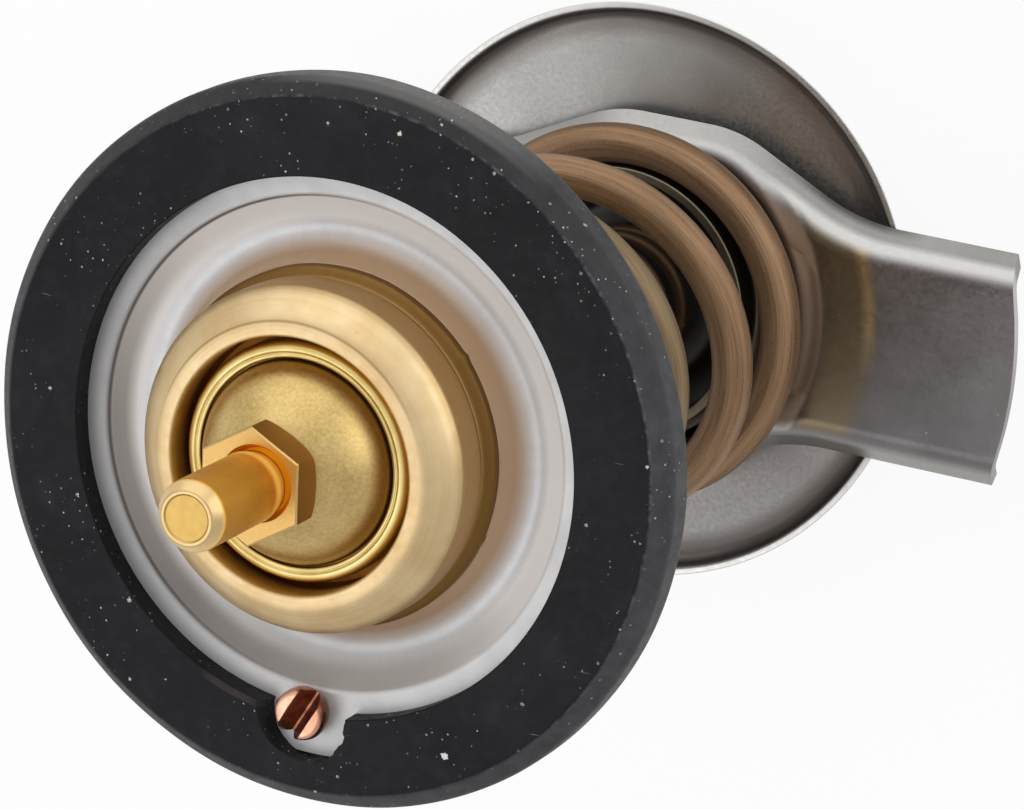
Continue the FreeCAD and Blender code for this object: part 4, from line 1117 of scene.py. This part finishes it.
def add_bridge():
    """Bridge as one pressed sheet: hub, seat, flat, rounded bends and walls, with the tips cut open."""
    under, hub_top = ends_of("bridge")
    face, thick, seat_drop, seat_edge = under + 2.7, 1.0, 0.5, 20.4
    hub, hub_bend, seat_soft = 13.65, 0.9, 0.95
    flat_inset, tip_start = 5.6, 30.0
    slope = WALL_RUN / (face - under)
    wall = thick * sqrt(slope * slope + 1)
    inner_run = wall + slope * (face - under - thick)
    outer_wall = softened([(0, 0), (WALL_RUN, face - under, 1.5), (flat_inset, face - under)],
                          closed=False, steps=9)
    inner_wall = softened([(wall, 0), (inner_run, face - under - thick, 0.7),
                           (flat_inset, face - under - thick)], closed=False, steps=9)
    collar = hub_top - face + seat_drop
    hub_outline = softened([
        (hub + hub_bend + 0.6, 0), (hub, 0, hub_bend), (hub, collar, 0.3), (hub - thick, collar, 0.3),
        (hub - thick, -thick, 1.2), (hub + 1.4, -thick),
    ], closed=False, steps=6)

    def stations(start, end, count):
        return [start + (end - start) * k / count for k in range(1, count + 1)]

    def drop(x, y):
        return seat_drop * (1 - eased((hypot(x, y) - seat_edge + seat_soft) / (2 * seat_soft)))

    def wall_point(edge, inward, place):
        """A wall's point from its (inset, height), sunk with the seat and moved to the wing's round end."""
        flat = edge + inward * place.x
        if abs(flat.x) > tip_start:
            stretch = (tip_reach(flat.y) - tip_start) / (tip_reach(WING_HALF) - tip_start)
            flat.x = copysign(tip_start + (abs(flat.x) - tip_start) * stretch, flat.x)
        return (flat.x, flat.y, under + place.y * (1 - drop(flat.x, flat.y) / (face - under)))

    def middle_rows(edge_top, edge_under):
        """From the flat's edge over the hub and back under the sheet."""
        angle = atan2(edge_top[1], edge_top[0])
        way = Vector((cos(angle), sin(angle)))
        near, reach = hub_outline[0].x, Vector(edge_top[:2]).length
        first = min(seat_edge - seat_soft, near + (reach - near) * 0.75)
        last = min(seat_edge + seat_soft, near + (reach - near) * 0.9)
        radii = stations(near, first, 6) + stations(first, last, 8) + stations(last, reach, 16)[:-1]

        def sheet(inner, edge, height, order):
            start, end = way * inner, Vector(edge[:2])
            flats = [start.lerp(end, (radius - near) / (reach - near)) for radius in order]
            return [(flat.x, flat.y, height - drop(flat.x, flat.y)) for flat in flats]

        hub_rows = [(way.x * place.x, way.y * place.x, face - seat_drop + place.y) for place in hub_outline]
        return (sheet(near, edge_top, face, radii[::-1]) + hub_rows
                + sheet(hub_outline[-1].x, edge_under, face - thick, radii))

    def side_column(edge, inward):
        out = [wall_point(edge, inward, place) for place in outer_wall]
        back = [wall_point(edge, inward, place) for place in inner_wall]
        return out + middle_rows(out[-1], back[-1]) + back[::-1]

    upper, lower = bridge_columns()
    tip_steps = 18
    wall_rows = len(outer_wall)

    def tip_columns(first, last):
        """Stations between two corners over a wing's end, which has no wall."""
        start = Vector(first[wall_rows - 1][:2])
        end = Vector(last[wall_rows - 1][:2])
        made = []
        for k in range(1, tip_steps):
            y = start.y + (end.y - start.y) * k / tip_steps
            x = copysign(tip_reach(y), start.x)
            top = (x, y, face)
            bottom = (x, y, face - thick)
            made.append([None] * (wall_rows - 1) + [top] + middle_rows(top, bottom)
                        + [bottom] + [None] * (wall_rows - 1))
        return made

    up_side = [side_column(edge, inward) for edge, inward in upper]
    low_side = [side_column(edge, inward) for edge, inward in lower]
    columns = up_side + tip_columns(up_side[-1], low_side[0])
    columns += low_side + tip_columns(low_side[-1], up_side[0])
    vertices, numbers = [], []
    for column in columns:
        numbers.append([])
        for point in column:
            numbers[-1].append(len(vertices) if point else None)
            vertices += [point] if point else []
    faces, cut_faces = [], []
    rows = len(columns[0])
    for c, here in enumerate(numbers):
        after = numbers[(c + 1) % len(numbers)]
        closing = (0, rows - 1)
        if here[0] is None or after[0] is None:
            closing = (wall_rows - 1, rows - wall_rows)
        for r in range(closing[0], closing[1]):
            faces.append([here[r], after[r], after[r + 1], here[r + 1]])
        cut_faces.append([here[closing[1]], after[closing[1]], after[closing[0]], here[closing[0]]])
    low_start = len(up_side) + tip_steps - 1
    for corner in (0, len(up_side) - 1, low_start, low_start + len(low_side) - 1):
        column = numbers[corner]
        for r in range(wall_rows - 1):
            cut_faces.append([column[r], column[r + 1], column[rows - 2 - r], column[rows - 1 - r]])
    bridge = add_object("bridge_sheet", vertices, faces + cut_faces, 40.0)
    broken_edges(bridge, 0.1, 50)
    even_shading(bridge)
    stands_for(bridge, "bridge", "bridge", bridge_finish(face))


def add_stem():
    end, top = ends_of("bypass_stem")
    clip_foot, clip_top = ends_of("stem_clip")
    radius, groove = 3.3, 2.6
    outline = softened([
        (0, top), (0, end), (radius - 0.5, end, 0.1), (radius, end + 0.5, 0.15), (radius, clip_foot, 0.05),
        (groove, clip_foot, 0.05), (groove, clip_top, 0.05), (radius, clip_top, 0.05), (radius, top, 0.1),
    ])
    stem = turned("stem_skin", outline, FINE_TURN)
    stands_for(stem, "bypass_stem", "valve", STEM_STEEL)


def add_stop_washer():
    foot, top = ends_of("stop_washer")
    reach, bore = reach_of("stop_washer"), 3.3
    outline = softened([(bore, top, 0.08), (bore, foot, 0.08), (reach, foot, 0.18), (reach, top, 0.18)])
    washer = turned("stop_washer_skin", outline, FINE_TURN)
    stands_for(washer, "stop_washer", "valve", STEM_STEEL)


def add_spring_cap():
    foot, top = ends_of("spring_cap")
    bore, cap, sheet = 5.2, 8.9, 1.0
    shelf = top - sheet
    outline = softened([
        (bore, top, 0.15), (bore, shelf, 0.1), (cap - sheet, shelf, 0.25), (cap - sheet * 0.75, foot, 0.15),
        (cap, foot, 0.2), (cap, top, 0.5),
    ])
    cap_piece = turned("spring_cap_skin", outline, SMALL_TURN)
    stands_for(cap_piece, "spring_cap", "valve", STEM_STEEL)


def dress_inner_nodes():
    """CAD nodes that stay as they are get their finish and softly broken edges."""
    rubber = plain_finish("boot_rubber", (0.012, 0.012, 0.013), (0.03, 0.03, 0.031), 0.55)
    finishes = {
        "piston_boot": rubber,
        "element_seal": rubber,
        "boot_washer": plain_finish("washer_plastic", (0.72, 0.70, 0.64), (0.82, 0.80, 0.75), 0.4),
        "wax_charge": plain_finish("wax", (0.62, 0.53, 0.36), (0.76, 0.67, 0.50), 0.45),
        "stem_clip": CLIP_STEEL,
    }
    for name, finish in finishes.items():
        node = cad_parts[name]
        node.data.materials.clear()
        node.data.materials.append(finish)
        broken_edges(node, 0.06, 45)
        even_shading(node)


# Surroundings

def backdrop_finish():
    """White floor that keeps a faint shadow; camera, mirror and see-through rays meet it as white."""
    made = Finish("floor_white", Base_Color=(0.95, 0.95, 0.95, 1.0), Roughness=0.8)
    white_share = 0.9
    rays = made.add("LightPath").outputs
    seen = made.most(rays["Is Camera Ray"], rays["Is Glossy Ray"], rays["Is Transmission Ray"])
    glow = made.add("Emission", {"Strength": 1.0})
    lit, share = made.shader.outputs[0], made.both(seen, white_share)
    mix = made.add("MixShader", {0: share, 1: lit, 2: glow.outputs[0]})
    feed(made.tree, made.tree.nodes["Material Output"].inputs["Surface"], mix.outputs[0])
    return made.material


def add_floor():
    """The floor lies just below the stem's end when the valve is fully open."""
    half, level = 1500.0, -9.2
    mesh = bpy.data.meshes.new("floor")
    corners = [(-half, -half, level), (half, -half, level), (half, half, level), (-half, half, level)]
    mesh.from_pydata([Vector(corner) * MM for corner in corners], [], [[0, 1, 2, 3]])
    floor = bpy.data.objects.new("floor", mesh)
    bpy.context.scene.collection.objects.link(floor)
    mesh.materials.append(backdrop_finish())


def set_world():
    """Even pale light from all round, a little stronger from above. The camera sees plain white."""
    world = bpy.data.worlds.new("studio")
    bpy.context.scene.world = world
    world.use_nodes = True
    tree = world.node_tree
    low, high = (0.64, 0.64, 0.65, 1.0), (0.86, 0.86, 0.86, 1.0)
    way = add_node(tree, "TexCoord").outputs["Generated"]
    height = add_node(tree, "VectorMath", {0: way, 1: VIEW_UP}, operation="DOT_PRODUCT").outputs["Value"]
    rise = add_node(tree, "MapRange", {"Value": height, "From Min": -0.6, "From Max": 0.9}).outputs[0]
    tone = add_node(tree, "Mix", {"Factor": rise, 6: low, 7: high}, data_type="RGBA").outputs[2]
    light = tree.nodes["Background"]
    feed(tree, light.inputs["Color"], tone)
    white = add_node(tree, "Background", {"Color": (1.0, 1.0, 1.0, 1.0)})
    seen = add_node(tree, "LightPath").outputs["Is Camera Ray"]
    mix = add_node(tree, "MixShader", {0: seen, 1: light.outputs[0], 2: white.outputs[0]})
    feed(tree, tree.nodes["World Output"].inputs["Surface"], mix.outputs[0])


def add_light(name, way_seen, size, power):
    """A square soft light that faces the valve, from (right, up, toward) as the camera sees it."""
    target, distance = Vector((0, 0, 45.0)), 700.0
    right, up, toward = way_seen
    way = (VIEW_RIGHT * right + VIEW_UP * up + VIEW_BACK * toward).normalized()
    data = bpy.data.lights.new(name, "AREA")
    data.shape = "SQUARE"
    data.size = size * MM
    data.energy = power
    light = bpy.data.objects.new(name, data)
    light.location = (target + way * distance) * MM
    light.rotation_euler = way.to_track_quat("Z", "Y").to_euler()
    bpy.context.scene.collection.objects.link(light)


def set_studio():
    add_floor()
    set_world()
    add_light("key_light", (-0.30, 0.90, 0.55), 900.0, 1.7)
    add_light("right_light", (0.90, 0.35, 0.60), 600.0, 1.6)
    add_light("low_light", (-0.75, -0.45, 0.60), 500.0, 0.9)
    bpy.context.scene.view_settings.view_transform = "Standard"


STEM_STEEL = satin_steel("stem_steel", (0.16, 0.155, 0.15), (0.26, 0.25, 0.24), 0.3, 0.42).done()
CLIP_STEEL = plain_finish("clip_steel", (0.24, 0.23, 0.22), (0.34, 0.33, 0.32), 0.4, 1.0)

set_camera()
add_seal_ring()
add_valve_disc()
add_collar()
add_cup()
add_guide()
add_pin()
add_vent_pin()
add_main_spring()
add_bypass_spring()
add_bypass_disc()
add_bridge()
add_stem()
add_stop_washer()
add_spring_cap()
dress_inner_nodes()
set_studio()
